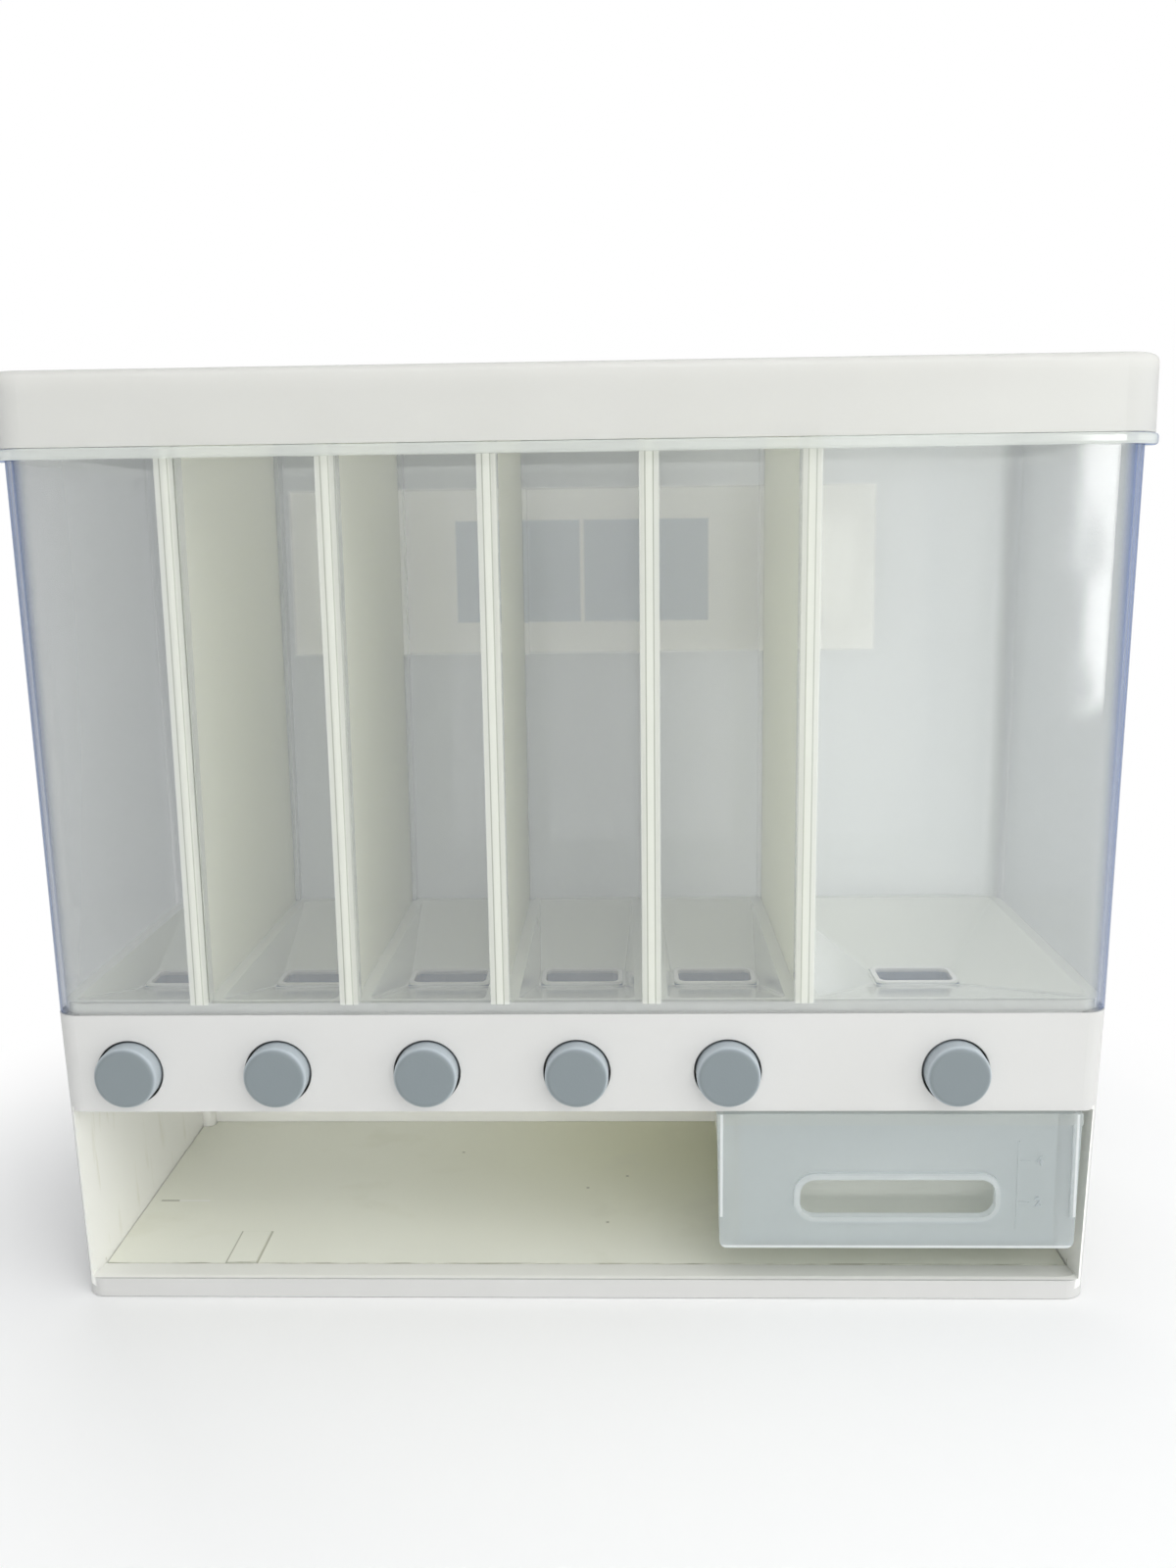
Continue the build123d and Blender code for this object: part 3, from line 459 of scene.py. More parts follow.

# %% [markdown]
# ## Clear container
#
# The container is clear moulded plastic with a slight haze. A glass shader would bend the view and
# keep lamp light out of the compartments, so the wall is a thin plastic skin that is partly see-through
# instead. The front is polished and clear, and the back has a matt texture that hides the wall behind.
# Where the white wall plate lies against that matt back, it shows as a paler patch. The round front
# corners are hazier, because the view passes through more plastic there, and they are painted blue,
# gloss included, as a painted reflection. The matt back is painted grey at the left and paler towards
# the right, as painted light, and near the side walls the colour goes to a darker grey, as a painted
# reflection. The guide ribs and the flange under the lid look paler than the flat walls, and a thin
# darker line in the gap beside each rib is painted shade.


# %% Light through a wall
FACE_ON_MIRROR = 0.04
SLANT_MIRROR = 0.96


def milky(tree, shader, colour, through):
    """Let a share of the light that falls on a wall come out, scattered, on its other side."""
    glow = add_node(tree, "ShaderNodeBsdfTranslucent", inputs={"Color": colour})
    milk = add_node(
        tree,
        "ShaderNodeMixShader",
        inputs={0: through, 1: shader.outputs[0], 2: glow.outputs[0]},
    )
    tree.links.new(milk.outputs[0], tree.nodes["Material Output"].inputs["Surface"])
    return milk


def see_through(tree, shader, haze, colour, through, gloss, shine_colour=(1, 1, 1, 1), bump=None):
    """Make a milky wall partly clear, with a thin gloss on top that is stronger at a slant."""
    milk = milky(tree, shader, colour, through)
    clear = add_node(tree, "ShaderNodeBsdfTransparent")
    veil = add_node(tree, "ShaderNodeMixShader", inputs={0: haze, 1: clear.outputs[0], 2: milk.outputs[0]})
    facing = add_node(tree, "ShaderNodeLayerWeight", inputs={"Blend": 0.5})
    slant = add_node(tree, "ShaderNodeMath", {"operation": "POWER"}, {0: facing.outputs["Facing"], 1: 5.0})
    mirror = add_node(
        tree,
        "ShaderNodeMath",
        {"operation": "MULTIPLY_ADD"},
        {0: slant.outputs[0], 1: SLANT_MIRROR, 2: FACE_ON_MIRROR},
    )
    shine = add_node(tree, "ShaderNodeBsdfGlossy", inputs={"Color": shine_colour, "Roughness": gloss})
    skin = add_node(
        tree,
        "ShaderNodeMixShader",
        inputs={0: mirror.outputs[0], 1: veil.outputs[0], 2: shine.outputs[0]},
    )
    if bump is not None:
        tree.links.new(bump, shine.inputs["Normal"])
    tree.links.new(skin.outputs[0], tree.nodes["Material Output"].inputs["Surface"])


print("a clear wall reflects", FACE_ON_MIRROR, "straight on and more at a slant")

# %% Where the container is clear and where it is hazy
box_low, box_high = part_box("container")
CLEAR_TO, MATT_FROM = -60 * MM, 74 * MM
FLANK_FROM, FLANK_TO = box_high.x - 17 * MM, box_high.x - 9 * MM
CORNER_TO, CORNER_FROM = box_low.y + 9 * MM, box_low.y + 18 * MM
BACK_FROM, BACK_TO = box_high.y - 26 * MM, box_high.y - 12 * MM
SLANT_FROM, SLANT_TO = 0.42, 0.74
SLANT_HAZE = 0.35
FRONT_HAZE = 0.10
SIDE_HAZE = 0.62
BACK_HAZE = 0.74
RIB_HAZE = 0.6
CORNER_HAZE = 0.5
FLANGE_HAZE = 0.6
NECK = 21.5 * MM
FLANGE = 4.0 * MM
FLANGE_REACH = 5.5 * MM
GROOVE_SIDE = 1.45 * MM
GROOVE_HALF = 0.25 * MM
RIB_REACH = 3.6 * MM
RIB_DEPTH = 18 * MM

clear_box, tree, shader, place = start_finish("clear_moulded_SAN", 0.1, 1.56)
axes = add_node(tree, "ShaderNodeSeparateXYZ", inputs={0: place})
depth = add_node(
    tree,
    "ShaderNodeMapRange",
    {"interpolation_type": "SMOOTHSTEP"},
    {0: axes.outputs["Y"], 1: CLEAR_TO, 2: MATT_FROM},
)
haze = add_node(tree, "ShaderNodeMapRange", inputs={0: depth.outputs[0], 3: FRONT_HAZE, 4: BACK_HAZE})
across = add_node(tree, "ShaderNodeMath", {"operation": "ABSOLUTE"}, {0: axes.outputs["X"]})
flank_mask = add_node(
    tree,
    "ShaderNodeMapRange",
    {"interpolation_type": "SMOOTHSTEP"},
    {0: across.outputs[0], 1: FLANK_FROM, 2: FLANK_TO},
).outputs[0]
front_end = add_node(
    tree,
    "ShaderNodeMapRange",
    {"interpolation_type": "SMOOTHSTEP"},
    {0: axes.outputs["Y"], 1: CORNER_TO, 2: CORNER_FROM, 3: 1.0, 4: 0.0},
)
back_end = add_node(
    tree,
    "ShaderNodeMapRange",
    {"interpolation_type": "SMOOTHSTEP"},
    {0: axes.outputs["Y"], 1: BACK_FROM, 2: BACK_TO, 3: 0.0, 4: BACK_HAZE},
)
corner = add_node(
    tree,
    "ShaderNodeMath",
    {"operation": "MULTIPLY"},
    {0: flank_mask, 1: front_end.outputs[0]},
)
corner_haze = add_node(
    tree,
    "ShaderNodeMath",
    {"operation": "MULTIPLY"},
    {0: corner.outputs[0], 1: CORNER_HAZE},
)
end_haze = add_node(
    tree,
    "ShaderNodeMath",
    {"operation": "MAXIMUM"},
    {0: corner_haze.outputs[0], 1: back_end.outputs[0]},
)
slant = add_node(tree, "ShaderNodeLayerWeight", inputs={"Blend": 0.5})
side_haze = add_node(
    tree,
    "ShaderNodeMapRange",
    {"interpolation_type": "SMOOTHSTEP"},
    {0: slant.outputs["Facing"], 1: SLANT_FROM, 2: SLANT_TO, 3: FRONT_HAZE, 4: SIDE_HAZE},
)
haze = add_node(
    tree,
    "ShaderNodeMix",
    {"data_type": "FLOAT"},
    {0: flank_mask, 2: haze.outputs[0], 3: side_haze.outputs[0]},
)
ribs = None
for number in range(1, 6):
    sheet_low, sheet_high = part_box(f"divider_{number}")
    middle = (sheet_low.x + sheet_high.x) / 2
    rib = inside_box(
        tree,
        place,
        (middle - RIB_REACH, box_low.y, sheet_low.z),
        (middle + RIB_REACH, box_low.y + RIB_DEPTH, sheet_high.z),
        0.3 * MM,
    )
    if ribs is not None:
        rib = add_node(tree, "ShaderNodeMath", {"operation": "MAXIMUM"}, {0: ribs, 1: rib}).outputs[0]
    ribs = rib
rib_haze = add_node(tree, "ShaderNodeMath", {"operation": "MULTIPLY"}, {0: ribs, 1: RIB_HAZE})
first = sum(end.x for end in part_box("divider_1")) / 2
pitch = sum(end.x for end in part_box("divider_2")) / 2 - first
nearest = add_node(
    tree,
    "ShaderNodeMath",
    {"operation": "WRAP"},
    {0: axes.outputs["X"], 1: first + pitch / 2, 2: first - pitch / 2},
)
from_sheet = add_node(tree, "ShaderNodeMath", {"operation": "SUBTRACT"}, {0: nearest.outputs[0], 1: first})
from_sheet = add_node(tree, "ShaderNodeMath", {"operation": "ABSOLUTE"}, {0: from_sheet.outputs[0]})
groove_shade = add_node(
    tree,
    "ShaderNodeMath",
    {"operation": "COMPARE"},
    {0: from_sheet.outputs[0], 1: GROOVE_SIDE, 2: GROOVE_HALF},
)
groove_shade = add_node(tree, "ShaderNodeMath", {"operation": "MULTIPLY"}, {0: groove_shade.outputs[0], 1: ribs})
flange = around_box(
    tree,
    place,
    (box_low.x + FLANGE_REACH, box_low.y + FLANGE_REACH, box_high.z - NECK - FLANGE),
    (box_high.x - FLANGE_REACH, box_high.y - FLANGE_REACH, box_high.z - NECK),
    FLANGE_REACH + 1 * MM,
    0.2 * MM,
    UP,
)
flange_haze = add_node(tree, "ShaderNodeMath", {"operation": "MULTIPLY"}, {0: flange, 1: FLANGE_HAZE})
for extra in (end_haze, rib_haze, flange_haze):
    haze = add_node(
        tree,
        "ShaderNodeMath",
        {"operation": "MAXIMUM"},
        {0: haze.outputs[0], 1: extra.outputs[0]},
    )
rim = add_node(tree, "ShaderNodeLayerWeight", inputs={"Blend": 0.25})
edge_haze = add_node(
    tree,
    "ShaderNodeMath",
    {"operation": "MULTIPLY"},
    {0: rim.outputs["Facing"], 1: SLANT_HAZE},
)
alpha = add_node(
    tree,
    "ShaderNodeMath",
    {"operation": "ADD", "use_clamp": True},
    {0: haze.outputs[0], 1: edge_haze.outputs[0]},
)
print("haze from", FRONT_HAZE, "at the front to", BACK_HAZE, "at the back")

# %% Colour of the container
plate_low, plate_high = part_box("wall_plate")
pad_low, pad_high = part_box("wall_pad")
LIGHT_RAMP_FROM, LIGHT_RAMP_TO = 0.0, 95 * MM
BACK_REACH = 20 * MM
PAD_EDGE = 3 * MM
WINDOW_BAR = 2 * MM
RIPPLE = 45 * MM

# The matt back is painted grey at the left and paler towards the right: painted light falling from the
# right.
right_light_ramp = add_node(
    tree,
    "ShaderNodeMapRange",
    {"interpolation_type": "SMOOTHSTEP"},
    {0: axes.outputs["X"], 1: LIGHT_RAMP_FROM, 2: LIGHT_RAMP_TO},
)
matt_back_and_light = add_node(
    tree,
    "ShaderNodeMix",
    {"data_type": "RGBA"},
    {0: right_light_ramp.outputs[0], 6: linear("#B4BBB8"), 7: linear("#E6EAE9")},
)
tint = add_node(
    tree,
    "ShaderNodeMix",
    {"data_type": "RGBA"},
    {0: depth.outputs[0], 6: linear("#F0F4F6"), 7: matt_back_and_light.outputs[2]},
)
# Near the side walls the colour goes over to a darker grey: a painted reflection of the surroundings.
tint_and_side_reflection = add_node(
    tree,
    "ShaderNodeMix",
    {"data_type": "RGBA"},
    {0: flank_mask, 6: tint.outputs[2], 7: linear("#A8AEB0")},
)
# The round front corners are painted blue: a painted reflection.
blue = lay_over(tree, shader, tint_and_side_reflection.outputs[2], corner.outputs[0], "#7185B2")
ivory = lay_over(tree, shader, blue, ribs, "#F1F3EC")
# A thin darker line in the gap between each rib and its divider: painted shade.
ivory = lay_over(tree, shader, ivory, groove_shade.outputs[0], "#C6CABF")
ivory = lay_over(tree, shader, ivory, flange, "#EBEFEA")
back_from, back_to = box_high.y - BACK_REACH, box_high.y + BACK_REACH
plate = inside_box(
    tree,
    place,
    (plate_low.x, back_from, plate_low.z),
    (plate_high.x, back_to, plate_high.z),
    1 * MM,
)
colour = lay_over(tree, shader, ivory, plate, "#FCFDF8")
for hand in (-1, 1):
    near, far = sorted((hand * WINDOW_BAR / 2, hand * (pad_high.x - PAD_EDGE)))
    window = inside_box(
        tree,
        place,
        (near, back_from, pad_low.z + PAD_EDGE),
        (far, back_to, pad_high.z - PAD_EDGE),
        0.6 * MM,
    )
    colour = lay_over(tree, shader, colour, window, "#C6D1D9")
ripple = add_node(tree, "ShaderNodeTexNoise", inputs={"Vector": place, "Scale": 1 / RIPPLE, "Detail": 1.0})
wave = add_node(
    tree,
    "ShaderNodeBump",
    inputs={"Height": ripple.outputs["Fac"], "Strength": 0.25, "Distance": 2 * MM},
)
# The gloss at the round front corners is tinted blue as well: a painted reflection.
corner_reflection_tint = add_node(
    tree,
    "ShaderNodeMix",
    {"data_type": "RGBA"},
    {0: corner.outputs[0], 6: (1, 1, 1, 1), 7: linear("#7F93B6")},
)
plate_haze = add_node(tree, "ShaderNodeMath", {"operation": "MAXIMUM"}, {0: alpha.outputs[0], 1: plate})
see_through(
    tree,
    shader,
    plate_haze.outputs[0],
    colour,
    through=0.3,
    gloss=0.07,
    shine_colour=corner_reflection_tint.outputs[2],
    bump=wave.outputs["Normal"],
)
print("made", clear_box.name)

# %% [markdown]
# ## Hopper floor
#
# The sloping floor is the same clear plastic, but light meets many of its faces at a slant, so it looks
# milkier than the walls. It gets its own finish with more haze and a cooler tint.

# %% Clear plastic of the hopper floor
hopper_low, hopper_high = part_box("hopper_floor")
OUTLET_HALF = (15.75 * MM, 8.0 * MM)
OUTLET_FRAME = 2.0 * MM
OUTLET_DROP = 16.0 * MM
OUTLET_CORNER = 3.0 * MM
SKIRT = 2.2 * MM
SKIRT_HAZE = 0.35
FLOOR_HAZE, FLOOR_SLANT_HAZE = 0.8, 0.95

clear_floor, tree, shader, place = start_finish("clear_moulded_SAN_floor", 0.16, 1.56)
at_outlet = beside_buttons(tree, place)
outlet_z = hopper_high.z - OUTLET_DROP - button_middle.z
outlet_frame = around_box(
    tree,
    at_outlet,
    (-OUTLET_HALF[0], -OUTLET_HALF[1], outlet_z - 0.5 * MM),
    (OUTLET_HALF[0], OUTLET_HALF[1], outlet_z + 2.5 * MM),
    OUTLET_FRAME,
    0.2 * MM,
    UP,
    OUTLET_CORNER,
)
# The walls of each outlet's chute are painted dark blue-grey: painted shade inside the outlet.
chute_shade = inside_box(
    tree,
    at_outlet,
    (-OUTLET_HALF[0] - OUTLET_FRAME, -OUTLET_HALF[1] - OUTLET_FRAME, outlet_z - OUTLET_DROP),
    (OUTLET_HALF[0] + OUTLET_FRAME, OUTLET_HALF[1] + OUTLET_FRAME, outlet_z + 0.4 * MM),
    0.3 * MM,
)
colour = lay_over(tree, shader, linear("#F7FAF4"), chute_shade, "#7A8CA2")
colour = lay_over(tree, shader, colour, outlet_frame, "#FFFFFF")
facing = add_node(tree, "ShaderNodeLayerWeight", inputs={"Blend": 0.3})
haze = add_node(
    tree,
    "ShaderNodeMapRange",
    inputs={0: facing.outputs["Facing"], 3: FLOOR_HAZE, 4: FLOOR_SLANT_HAZE},
)
haze = add_node(tree, "ShaderNodeMath", {"operation": "MAXIMUM"}, {0: haze.outputs[0], 1: outlet_frame})
skirt = inside_box(
    tree,
    place,
    (hopper_low.x, hopper_low.y - SKIRT, hopper_low.z),
    (hopper_high.x, hopper_low.y + SKIRT, hopper_high.z + SKIRT),
    0.2 * MM,
)
haze = add_node(
    tree,
    "ShaderNodeMix",
    {"data_type": "FLOAT"},
    {0: skirt, 2: haze.outputs[0], 3: SKIRT_HAZE},
)
see_through(tree, shader, haze.outputs[0], colour, through=0.12, gloss=0.12)
print("made", clear_floor.name)

# %% [markdown]
# ## Milky lid, ivory dividers and frosted cup
#
# These are polypropylene, which is naturally cloudy. The thick lid and the dividers look nearly solid
# with a soft sheen, while the thin cup lets some of the bay behind it through.

# %% Polypropylene
lid_milk, tree, shader, *_ = moulded_plastic("milky_polypropylene_lid", "#DCDCD9", "#D7D7D3", 0.22, 0.08)
milky(tree, shader, linear("#FCFCFA"), through=0.45)

divider_ivory, tree, shader, *_ = moulded_plastic("polypropylene_ivory", "#F6F7EA", "#F1F3E4", 0.42, 0.15)
milky(tree, shader, linear("#F8F9EA"), through=0.3)

print("made", lid_milk.name, divider_ivory.name)

# %% Frosted cup
cup_low, cup_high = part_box("measuring_cup")
CUP_MIDDLE = (cup_low.x + cup_high.x) / 2
SLOT_HALF = (37.75 * MM, 7.75 * MM)
SLOT_RISE = 21.5 * MM
SLOT_RIM = 1.8 * MM
SLOT_CORNER = 6.0 * MM
SHADE_BAND_HEIGHT = 4.6 * MM
LIP = 1.2 * MM
LIP_INSET = 1.2 * MM
LIP_RISE = 13.5 * MM
FASCIA = 4 * MM
CUP_HAZE, CUP_SLANT_HAZE = 0.5, 0.8

cup_frost, tree, shader, place, shaded = moulded_plastic(
    "frosted_polypropylene_cup", "#CED5D7", "#C8D0D2", 0.4, 0.35
)
slot_z = cup_low.z + SLOT_RISE
slot_rim = around_box(
    tree,
    place,
    (CUP_MIDDLE - SLOT_HALF[0], cup_low.y, slot_z - SLOT_HALF[1]),
    (CUP_MIDDLE + SLOT_HALF[0], cup_low.y + FASCIA, slot_z + SLOT_HALF[1]),
    SLOT_RIM,
    0.4 * MM,
    FORE_AND_AFT,
    SLOT_CORNER,
)
front_low, front_high = cup_low.y, cup_low.y + FASCIA
# A slightly darker band along the top of the cup's front: painted shade under the panel above it.
shade_under_panel = inside_box(
    tree,
    place,
    (cup_low.x, front_low, cup_high.z - SHADE_BAND_HEIGHT),
    (cup_high.x, front_high, cup_high.z),
    0.3 * MM,
)
colour = lay_over(tree, shader, shaded.outputs[2], shade_under_panel, "#CDD3D1")
hem = inside_box(
    tree,
    place,
    (cup_low.x, front_low, cup_low.z),
    (cup_high.x, front_high, cup_low.z + LIP_INSET),
    0.3 * MM,
)
pale = add_node(tree, "ShaderNodeMath", {"operation": "MAXIMUM"}, {0: hem, 1: slot_rim}).outputs[0]
for hand in (-1, 1):
    outer = CUP_MIDDLE + hand * ((cup_high.x - cup_low.x) / 2 - LIP_INSET)
    inner = outer - hand * LIP
    lip = inside_box(
        tree,
        place,
        (min(inner, outer), front_low, cup_low.z + LIP_RISE),
        (max(inner, outer), front_high, cup_high.z),
        0.3 * MM,
    )
    pale = add_node(tree, "ShaderNodeMath", {"operation": "MAXIMUM"}, {0: pale, 1: lip}).outputs[0]
colour = lay_over(tree, shader, colour, pale, "#EAEEEE")
# The cup behind its fascia is painted near white: painted light, so that the pocket behind the slot shows
# pale.
inner_wall_painted_light = inside_box(
    tree,
    place,
    (cup_low.x, cup_low.y + 2 * FASCIA, cup_low.z),
    tuple(cup_high),
    1 * MM,
)
colour = lay_over(tree, shader, colour, inner_wall_painted_light, "#F8FAF4")
facing = add_node(tree, "ShaderNodeLayerWeight", inputs={"Blend": 0.4})
haze = add_node(
    tree,
    "ShaderNodeMapRange",
    inputs={0: facing.outputs["Facing"], 3: CUP_HAZE, 4: CUP_SLANT_HAZE},
)
haze = add_node(tree, "ShaderNodeMath", {"operation": "MAXIMUM"}, {0: haze.outputs[0], 1: pale})
see_through(tree, shader, haze.outputs[0], colour, through=0.45, gloss=0.3)
print("made", cup_frost.name)

# %% [markdown]
# ## Buttons, metal and soft parts
#
# The buttons are grey ABS with a dull, slightly coarser grain for grip. The springs are drawn steel
# wire, the screws are zinc plated, the lid's seal is silicone and the pad on the wall plate is foam.

# %% Small finishes
button_grey, tree, shader, place, shaded = moulded_plastic(
    "matt_ABS_button_grey", "#AEB7BC", "#A8B1B6", 0.42, 0.4
)
# The front face of each button is painted a darker grey than its sides, which stand lighter as painted
# light.
painted_face_shade = inside_box(
    tree,
    place,
    (base_low.x, button_low.y - 1 * MM, base_low.z),
    (base_high.x, button_low.y + 0.6 * MM, base_high.z),
    0.5 * MM,
)
lay_over(tree, shader, shaded.outputs[2], painted_face_shade, "#767F82")
# The gates are grey ABS like the buttons, painted darker and bluer than the buttons' grey: painted shade
# down in the outlets.
gate_grey_and_shade = moulded_plastic("moulded_ABS_gate_grey", "#64758A", "#5D6E83", 0.4, 0.3)[0]
silicone = moulded_plastic("silicone_seal", "#E4E4DF", "#DDDDD6", 0.6, 0.2)[0]


def metal(name, colour, roughness, scratch):
    """Plain metal whose shine varies along fine marks."""
    material, tree, shader, place = start_finish(name, roughness)
    shader.inputs["Base Color"].default_value = linear(colour)
    shader.inputs["Metallic"].default_value = 1.0
    marks = add_node(
        tree,
        "ShaderNodeTexNoise",
        inputs={"Vector": place, "Scale": 1 / scratch, "Detail": 3.0},
    )
    shine = add_node(
        tree,
        "ShaderNodeMapRange",
        inputs={0: marks.outputs["Fac"], 3: roughness * 0.7, 4: roughness * 1.4},
    )
    tree.links.new(shine.outputs[0], shader.inputs["Roughness"])
    return material


spring_steel = metal("drawn_spring_steel", "#A9AAAC", 0.28, 0.8 * MM)
screw_zinc = metal("zinc_plated_steel", "#B9BABC", 0.36, 1.2 * MM)


def foam(name, colour, shade, cell):
    """Foam with open cells, whose middles are painted darker as painted shade in the pits."""
    material, tree, shader, place = start_finish(name, 0.85)
    cells = add_node(tree, "ShaderNodeTexVoronoi", inputs={"Vector": place, "Scale": 1 / cell})
    mix = add_node(
        tree,
        "ShaderNodeMix",
        {"data_type": "RGBA"},
        {0: cells.outputs["Distance"], 6: linear(shade), 7: linear(colour)},
    )
    tree.links.new(mix.outputs[2], shader.inputs["Base Color"])
    pits = add_node(
        tree,
        "ShaderNodeBump",
        inputs={"Height": cells.outputs["Distance"], "Strength": 0.6, "Distance": 0.3 * MM},
    )
    tree.links.new(pits.outputs["Normal"], shader.inputs["Normal"])
    return material


pad_foam = foam("grey_foam_pad", "#9AA1A4", "#858D91", 1.2 * MM)
print("made", button_grey.name, silicone.name, spring_steel.name, screw_zinc.name, pad_foam.name)

# %% Dress the CAD pieces
FINISHES = {
    "container": clear_box,
    "hopper_floor": clear_floor,
    "lid": lid_milk,
    "lid_seal": silicone,
    "base_frame": base_white,
    "base_floor": bay_floor,
    "valve_deck": inner_white,
    "deck_screws": screw_zinc,
    "measuring_cup": cup_frost,
    "wall_plate": plate_white,
    "wall_pad": pad_foam,
    "divider": divider_ivory,
    "button": button_grey,
    "gate": gate_grey_and_shade,
    "spring": spring_steel,
}
for name, piece in nodes.items():
    family = name if name in FINISHES else name.rsplit("_", 1)[0]
    piece.data.materials.clear()
    piece.data.materials.append(FINISHES[family])
print("dressed", len(nodes), "CAD pieces")

# %% [markdown]
# ## Return springs
#
# Each button is pushed back by a coil spring. The wire's round section is drawn once and carried round
# the axis by a Screw modifier, which is how a coiling machine forms it. Each coil takes the place of
# its CAD spring and is joined to the base.

# %% Coil a spring for each button
SPRING_WIRE = 1.0 * MM
SPRING_TURNS = 7
WIRE_SIDES = 12
STEPS_PER_TURN = 40
springs = [name for name in nodes if name.startswith("spring_")]


def coil_spring(node_name):
    low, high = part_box(node_name)
    radius = (high.x - low.x - SPRING_WIRE) / 2
    length = high.y - low.y - SPRING_WIRE
    bpy.ops.object.select_all(action="DESELECT")
    bpy.ops.mesh.primitive_circle_add(vertices=WIRE_SIDES, radius=SPRING_WIRE / 2, location=(radius, 0, 0))
    coil = bpy.context.object
    coil.name = "coil_" + node_name
    bpy.ops.object.transform_apply(location=True, rotation=True, scale=True)
    turn = coil.modifiers.new("turns", "SCREW")
    turn.axis = "Y"
    turn.angle = 2 * math.pi
    turn.screw_offset = length / SPRING_TURNS
    turn.iterations = SPRING_TURNS
    turn.steps = turn.render_steps = STEPS_PER_TURN
    bpy.ops.object.modifier_apply(modifier=turn.name)
    bpy.ops.object.mode_set(mode="EDIT")
    bpy.ops.mesh.select_all(action="SELECT")
    bpy.ops.mesh.fill_holes(sides=WIRE_SIDES)
    bpy.ops.mesh.select_all(action="SELECT")
    bpy.ops.mesh.normals_make_consistent(inside=False)
    bpy.ops.object.mode_set(mode="OBJECT")
    start = Vector(((low.x + high.x) / 2, low.y + SPRING_WIRE / 2, (low.z + high.z) / 2))
    coil.location = start
    bpy.ops.object.transform_apply(location=True, rotation=True, scale=True)
    bpy.ops.object.shade_smooth_by_angle(angle=math.radians(50))
    coil.data.materials.clear()
    coil.data.materials.append(spring_steel)
    return coil


for node_name in springs:
    number = node_name.rsplit("_", 1)[1]
    coil = coil_spring(node_name)
    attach(coil, "base")
    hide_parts(node_name)
    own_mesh(coil)
print("coiled", len(springs), "springs")

# %% [markdown]
# ## Numerals on the cup
#
# The cup has a raised scale with two ticks. Plain numerals stand beside them, as on any measuring cup.
# Text is a curve with some thickness; it is made a mesh, stood upright against the fascia and joined
# to the cup's own motion.

# %% Raised numerals
NUMERAL_HEIGHT = 5.5 * MM
NUMERAL_RELIEF = 0.35 * MM
NUMERAL_EDGE = 0.1 * MM
FASCIA_Y = base_low.y
NUMERAL_X = cup_high.x - 17 * MM
TICK_Z = {"4": cup_high.z - 19.5 * MM, "2": cup_high.z - 36.5 * MM}
for numeral, height in TICK_Z.items():
    bpy.ops.object.select_all(action="DESELECT")
    bpy.ops.object.text_add(rotation=(math.pi / 2, 0, 0))
    mark = bpy.context.object
    mark.name = "cup_numeral_" + numeral
    mark.data.body = numeral
    mark.data.size = NUMERAL_HEIGHT
    mark.data.extrude = NUMERAL_RELIEF
    mark.data.bevel_depth = NUMERAL_EDGE
    mark.location = (NUMERAL_X, FASCIA_Y, height - NUMERAL_HEIGHT / 3)
    bpy.ops.object.convert(target="MESH")
    bpy.ops.object.transform_apply(location=True, rotation=True, scale=True)
    mark.data.materials.clear()
    mark.data.materials.append(cup_frost)
    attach(mark, "cup")
print("placed", len(TICK_Z), "numerals")

# %% [markdown]
# ## Floor and backdrop
#
# A sheet of white card runs under the dispenser and curves up behind it, as in a product studio. Near
# the object it is plain card, so that it keeps the shadow, and further away it goes over to pure white
# for the eye, so that no horizon shows.

# %% Studio card
CARD_WIDTH = 8.0
CARD_BACK = 2.5
CARD_RISE = 4.0
CARD_BELOW = 0.3 * MM
FOLD_WIDTH = 1.2
WHITE_FROM, WHITE_TO = 0.2, 0.4


def to_the_eye(tree):
    """A share that is 1 for what the viewer sees, directly or in gloss and glass, and 0 for light."""
    ray = add_node(tree, "ShaderNodeLightPath")
    seen = ray.outputs["Is Camera Ray"]
    for way in ("Is Glossy Ray", "Is Transmission Ray"):
        seen = add_node(
            tree,
            "ShaderNodeMath",
            {"operation": "MAXIMUM"},
            {0: seen, 1: ray.outputs[way]},
        ).outputs[0]
    return seen


bpy.ops.object.select_all(action="DESELECT")
bpy.ops.mesh.primitive_plane_add(size=CARD_WIDTH, location=(0, CARD_BACK - CARD_WIDTH / 2, -CARD_BELOW))
card = bpy.context.object
card.name = "studio_card"
bpy.ops.object.transform_apply(location=True, rotation=True, scale=True)
bpy.ops.object.mode_set(mode="EDIT")
bpy.ops.mesh.select_all(action="DESELECT")
bpy.ops.object.mode_set(mode="OBJECT")
for edge in card.data.edges:
    edge.select = all(card.data.vertices[i].co.y > CARD_BACK - 0.01 for i in edge.vertices)
bpy.ops.object.mode_set(mode="EDIT")
bpy.ops.mesh.select_mode(type="EDGE")
bpy.ops.mesh.extrude_region_move(TRANSFORM_OT_translate={"value": (0, 0, CARD_RISE)})
bpy.ops.object.mode_set(mode="OBJECT")
fold = card.modifiers.new("fold", "BEVEL")
fold.width = FOLD_WIDTH
fold.segments = 16
bpy.ops.object.modifier_apply(modifier=fold.name)
bpy.ops.object.shade_smooth()

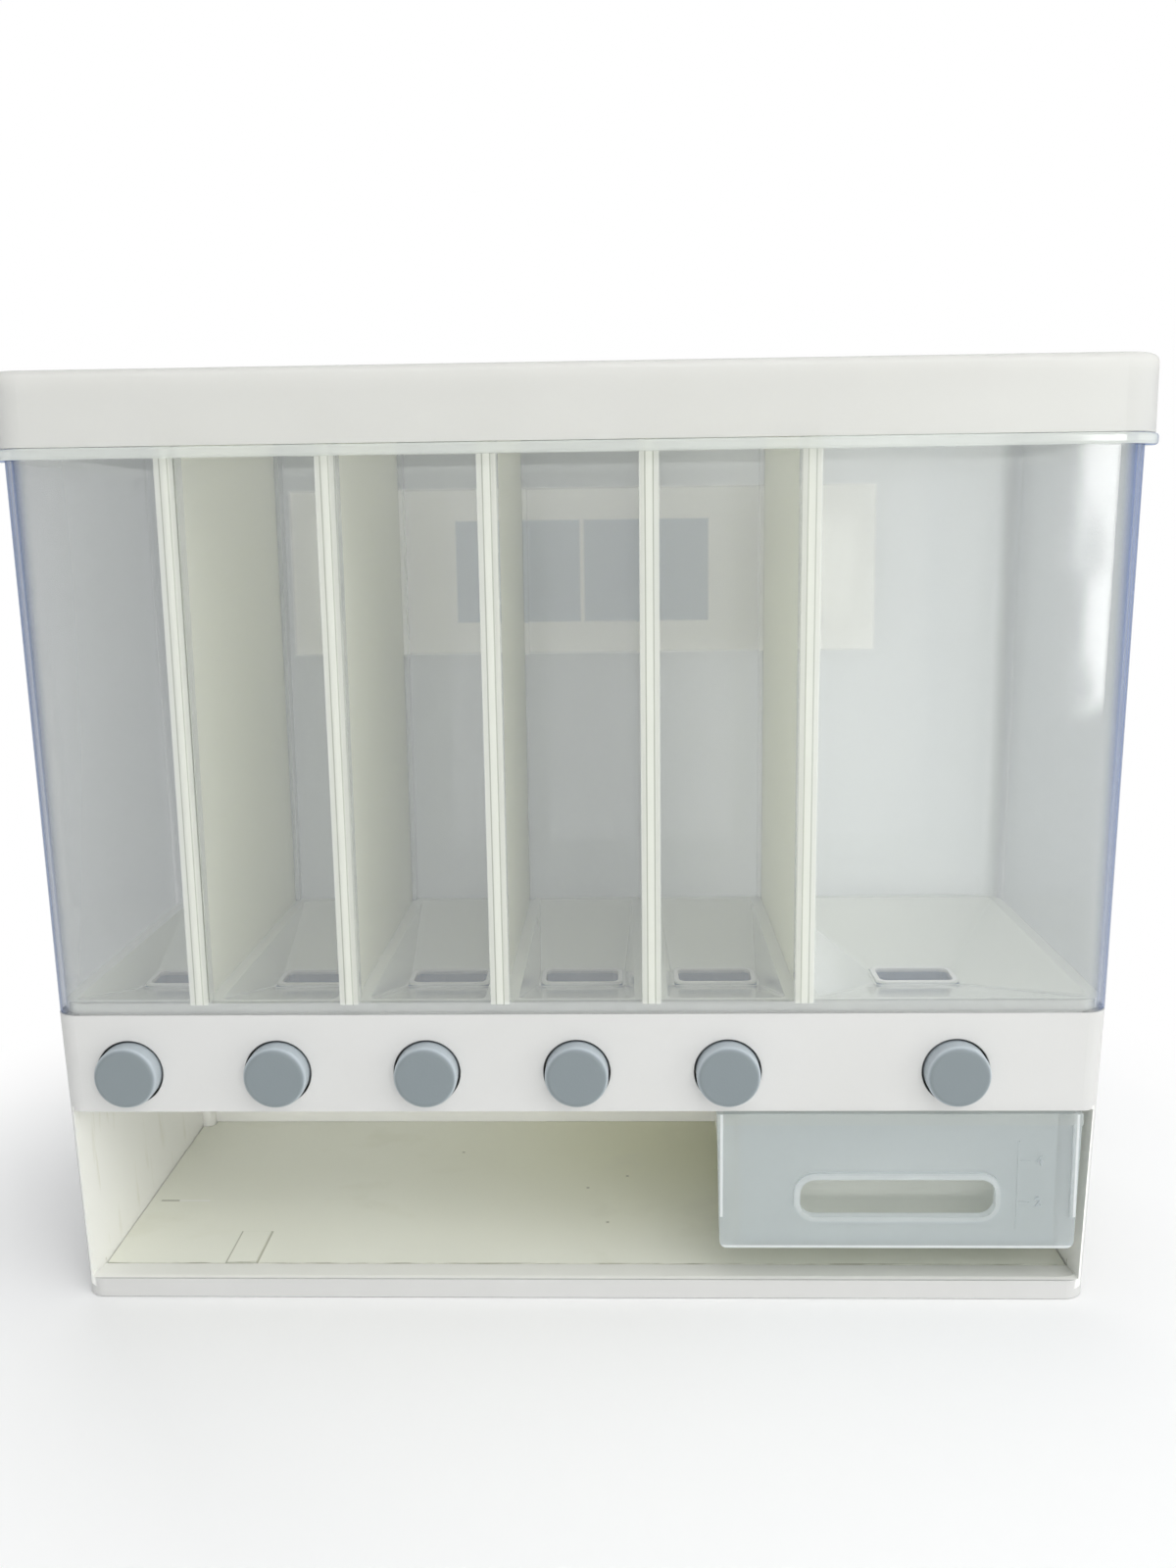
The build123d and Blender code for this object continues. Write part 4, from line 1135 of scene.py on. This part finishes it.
white_card, tree, shader, place = start_finish("white_card", 0.9)
shader.inputs["Base Color"].default_value = linear("#F6F6F5")
shader.inputs["Specular IOR Level"].default_value = 0.0
reach = add_node(tree, "ShaderNodeVectorMath", {"operation": "LENGTH"}, {0: place})
far = add_node(
    tree,
    "ShaderNodeMapRange",
    {"interpolation_type": "SMOOTHSTEP"},
    {0: reach.outputs["Value"], 1: WHITE_FROM, 2: WHITE_TO},
)
share = add_node(
    tree,
    "ShaderNodeMath",
    {"operation": "MULTIPLY"},
    {0: to_the_eye(tree), 1: far.outputs[0]},
)
glow = add_node(tree, "ShaderNodeEmission", inputs={"Color": (1, 1, 1, 1), "Strength": 1.0})
blend = add_node(
    tree,
    "ShaderNodeMixShader",
    inputs={0: share.outputs[0], 1: shader.outputs[0], 2: glow.outputs[0]},
)
tree.links.new(blend.outputs[0], tree.nodes["Material Output"].inputs["Surface"])
card.data.materials.append(white_card)
print("card reaches", CARD_BACK, "m behind the dispenser")

# %% [markdown]
# ## Light
#
# Soft daylight comes from all round, and six soft boxes shape it. A tall narrow strip at the front right
# is the only one that shows in reflections, as a streak on the clear box. Broad boxes stand at the front,
# the right, above and behind, and a long low one reaches into the bay. The lamps are only strong enough
# for a colour to render about as it is written.

# %% Lamps and surroundings
SKY_LEVEL = 0.35
LAMPS = (
    ("strip_box", (0.56, -1.05, 0.42), (0.08, 0.72), 1.1),
    ("front_box", (0.6, -1.1, 1.25), (1.4, 1.0), 10.5),
    ("side_box", (1.5, -0.45, 0.45), (1.0, 0.9), 7.5),
    ("low_box", (-0.05, -1.1, 0.12), (0.9, 0.18), 3.8),
    ("top_box", (0.1, -0.1, 1.6), (1.2, 0.9), 7.0),
    ("back_box", (-0.5, 1.5, 0.8), (1.4, 1.0), 8.0),
)
AIM = Vector((0, 0, 0.2))
for name, spot, size, power in LAMPS:
    turn = (AIM - Vector(spot)).to_track_quat("-Z", "Y").to_euler()
    bpy.ops.object.light_add(type="AREA", location=spot, rotation=turn)
    lamp = bpy.context.object
    lamp.name = name
    lamp.data.shape = "RECTANGLE"
    lamp.data.size, lamp.data.size_y = size
    lamp.data.energy = power
    lamp.visible_glossy = name == "strip_box"
    lamp.visible_camera = False

world = bpy.data.worlds.new("soft_daylight")
bpy.context.scene.world = world
world.use_nodes = True
tree = world.node_tree
sky = tree.nodes["Background"]
sky.inputs["Color"].default_value = linear("#F7FAFF")
sky.inputs["Strength"].default_value = SKY_LEVEL
backdrop = add_node(tree, "ShaderNodeBackground", inputs={"Color": (1, 1, 1, 1), "Strength": 1.0})
blend = add_node(
    tree,
    "ShaderNodeMixShader",
    inputs={0: to_the_eye(tree), 1: sky.outputs[0], 2: backdrop.outputs[0]},
)
tree.links.new(blend.outputs[0], tree.nodes["World Output"].inputs["Surface"])
print("lit by", len(LAMPS), "soft boxes and a sky at", SKY_LEVEL)

# %% [markdown]
# ## Camera
#
# The photo was taken from just in front of the dispenser, a little above its middle, so near edges look
# larger than far ones. The camera's place, tilt and focal length were found by matching edges of the
# model to the same edges in the picture.

# %% Camera at the photo's place
IMAGE_LONG_SIDE = 1600
SENSOR = 36.0
FOCAL_PIXELS = 1334.3
CENTRE_ROW = 759.1
CAMERA_PLACE = (19.53 * MM, -552.8 * MM, 299.9 * MM)
CAMERA_YAW = -0.0284
CAMERA_PITCH = 0.1597
CAMERA_ROLL = -0.0135

ahead = Vector((
    math.sin(CAMERA_YAW) * math.cos(CAMERA_PITCH),
    math.cos(CAMERA_YAW) * math.cos(CAMERA_PITCH),
    -math.sin(CAMERA_PITCH),
))
level = Vector((math.cos(CAMERA_YAW), -math.sin(CAMERA_YAW), 0))
upward = level.cross(ahead)
right = math.cos(CAMERA_ROLL) * level + math.sin(CAMERA_ROLL) * upward
top = -math.sin(CAMERA_ROLL) * level + math.cos(CAMERA_ROLL) * upward
turn = Matrix((right, top, -ahead)).transposed().to_euler()
bpy.ops.object.camera_add(location=CAMERA_PLACE, rotation=turn)
camera = bpy.context.object
camera.name = "photo_camera"
camera.data.sensor_width = SENSOR
camera.data.lens = FOCAL_PIXELS * SENSOR / IMAGE_LONG_SIDE
camera.data.shift_y = (CENTRE_ROW - IMAGE_LONG_SIDE / 2) / IMAGE_LONG_SIDE
camera.data.clip_start = 0.01
bpy.context.scene.camera = camera
bpy.context.scene.view_settings.view_transform = "Standard"
print("lens", round(camera.data.lens, 2), "mm")
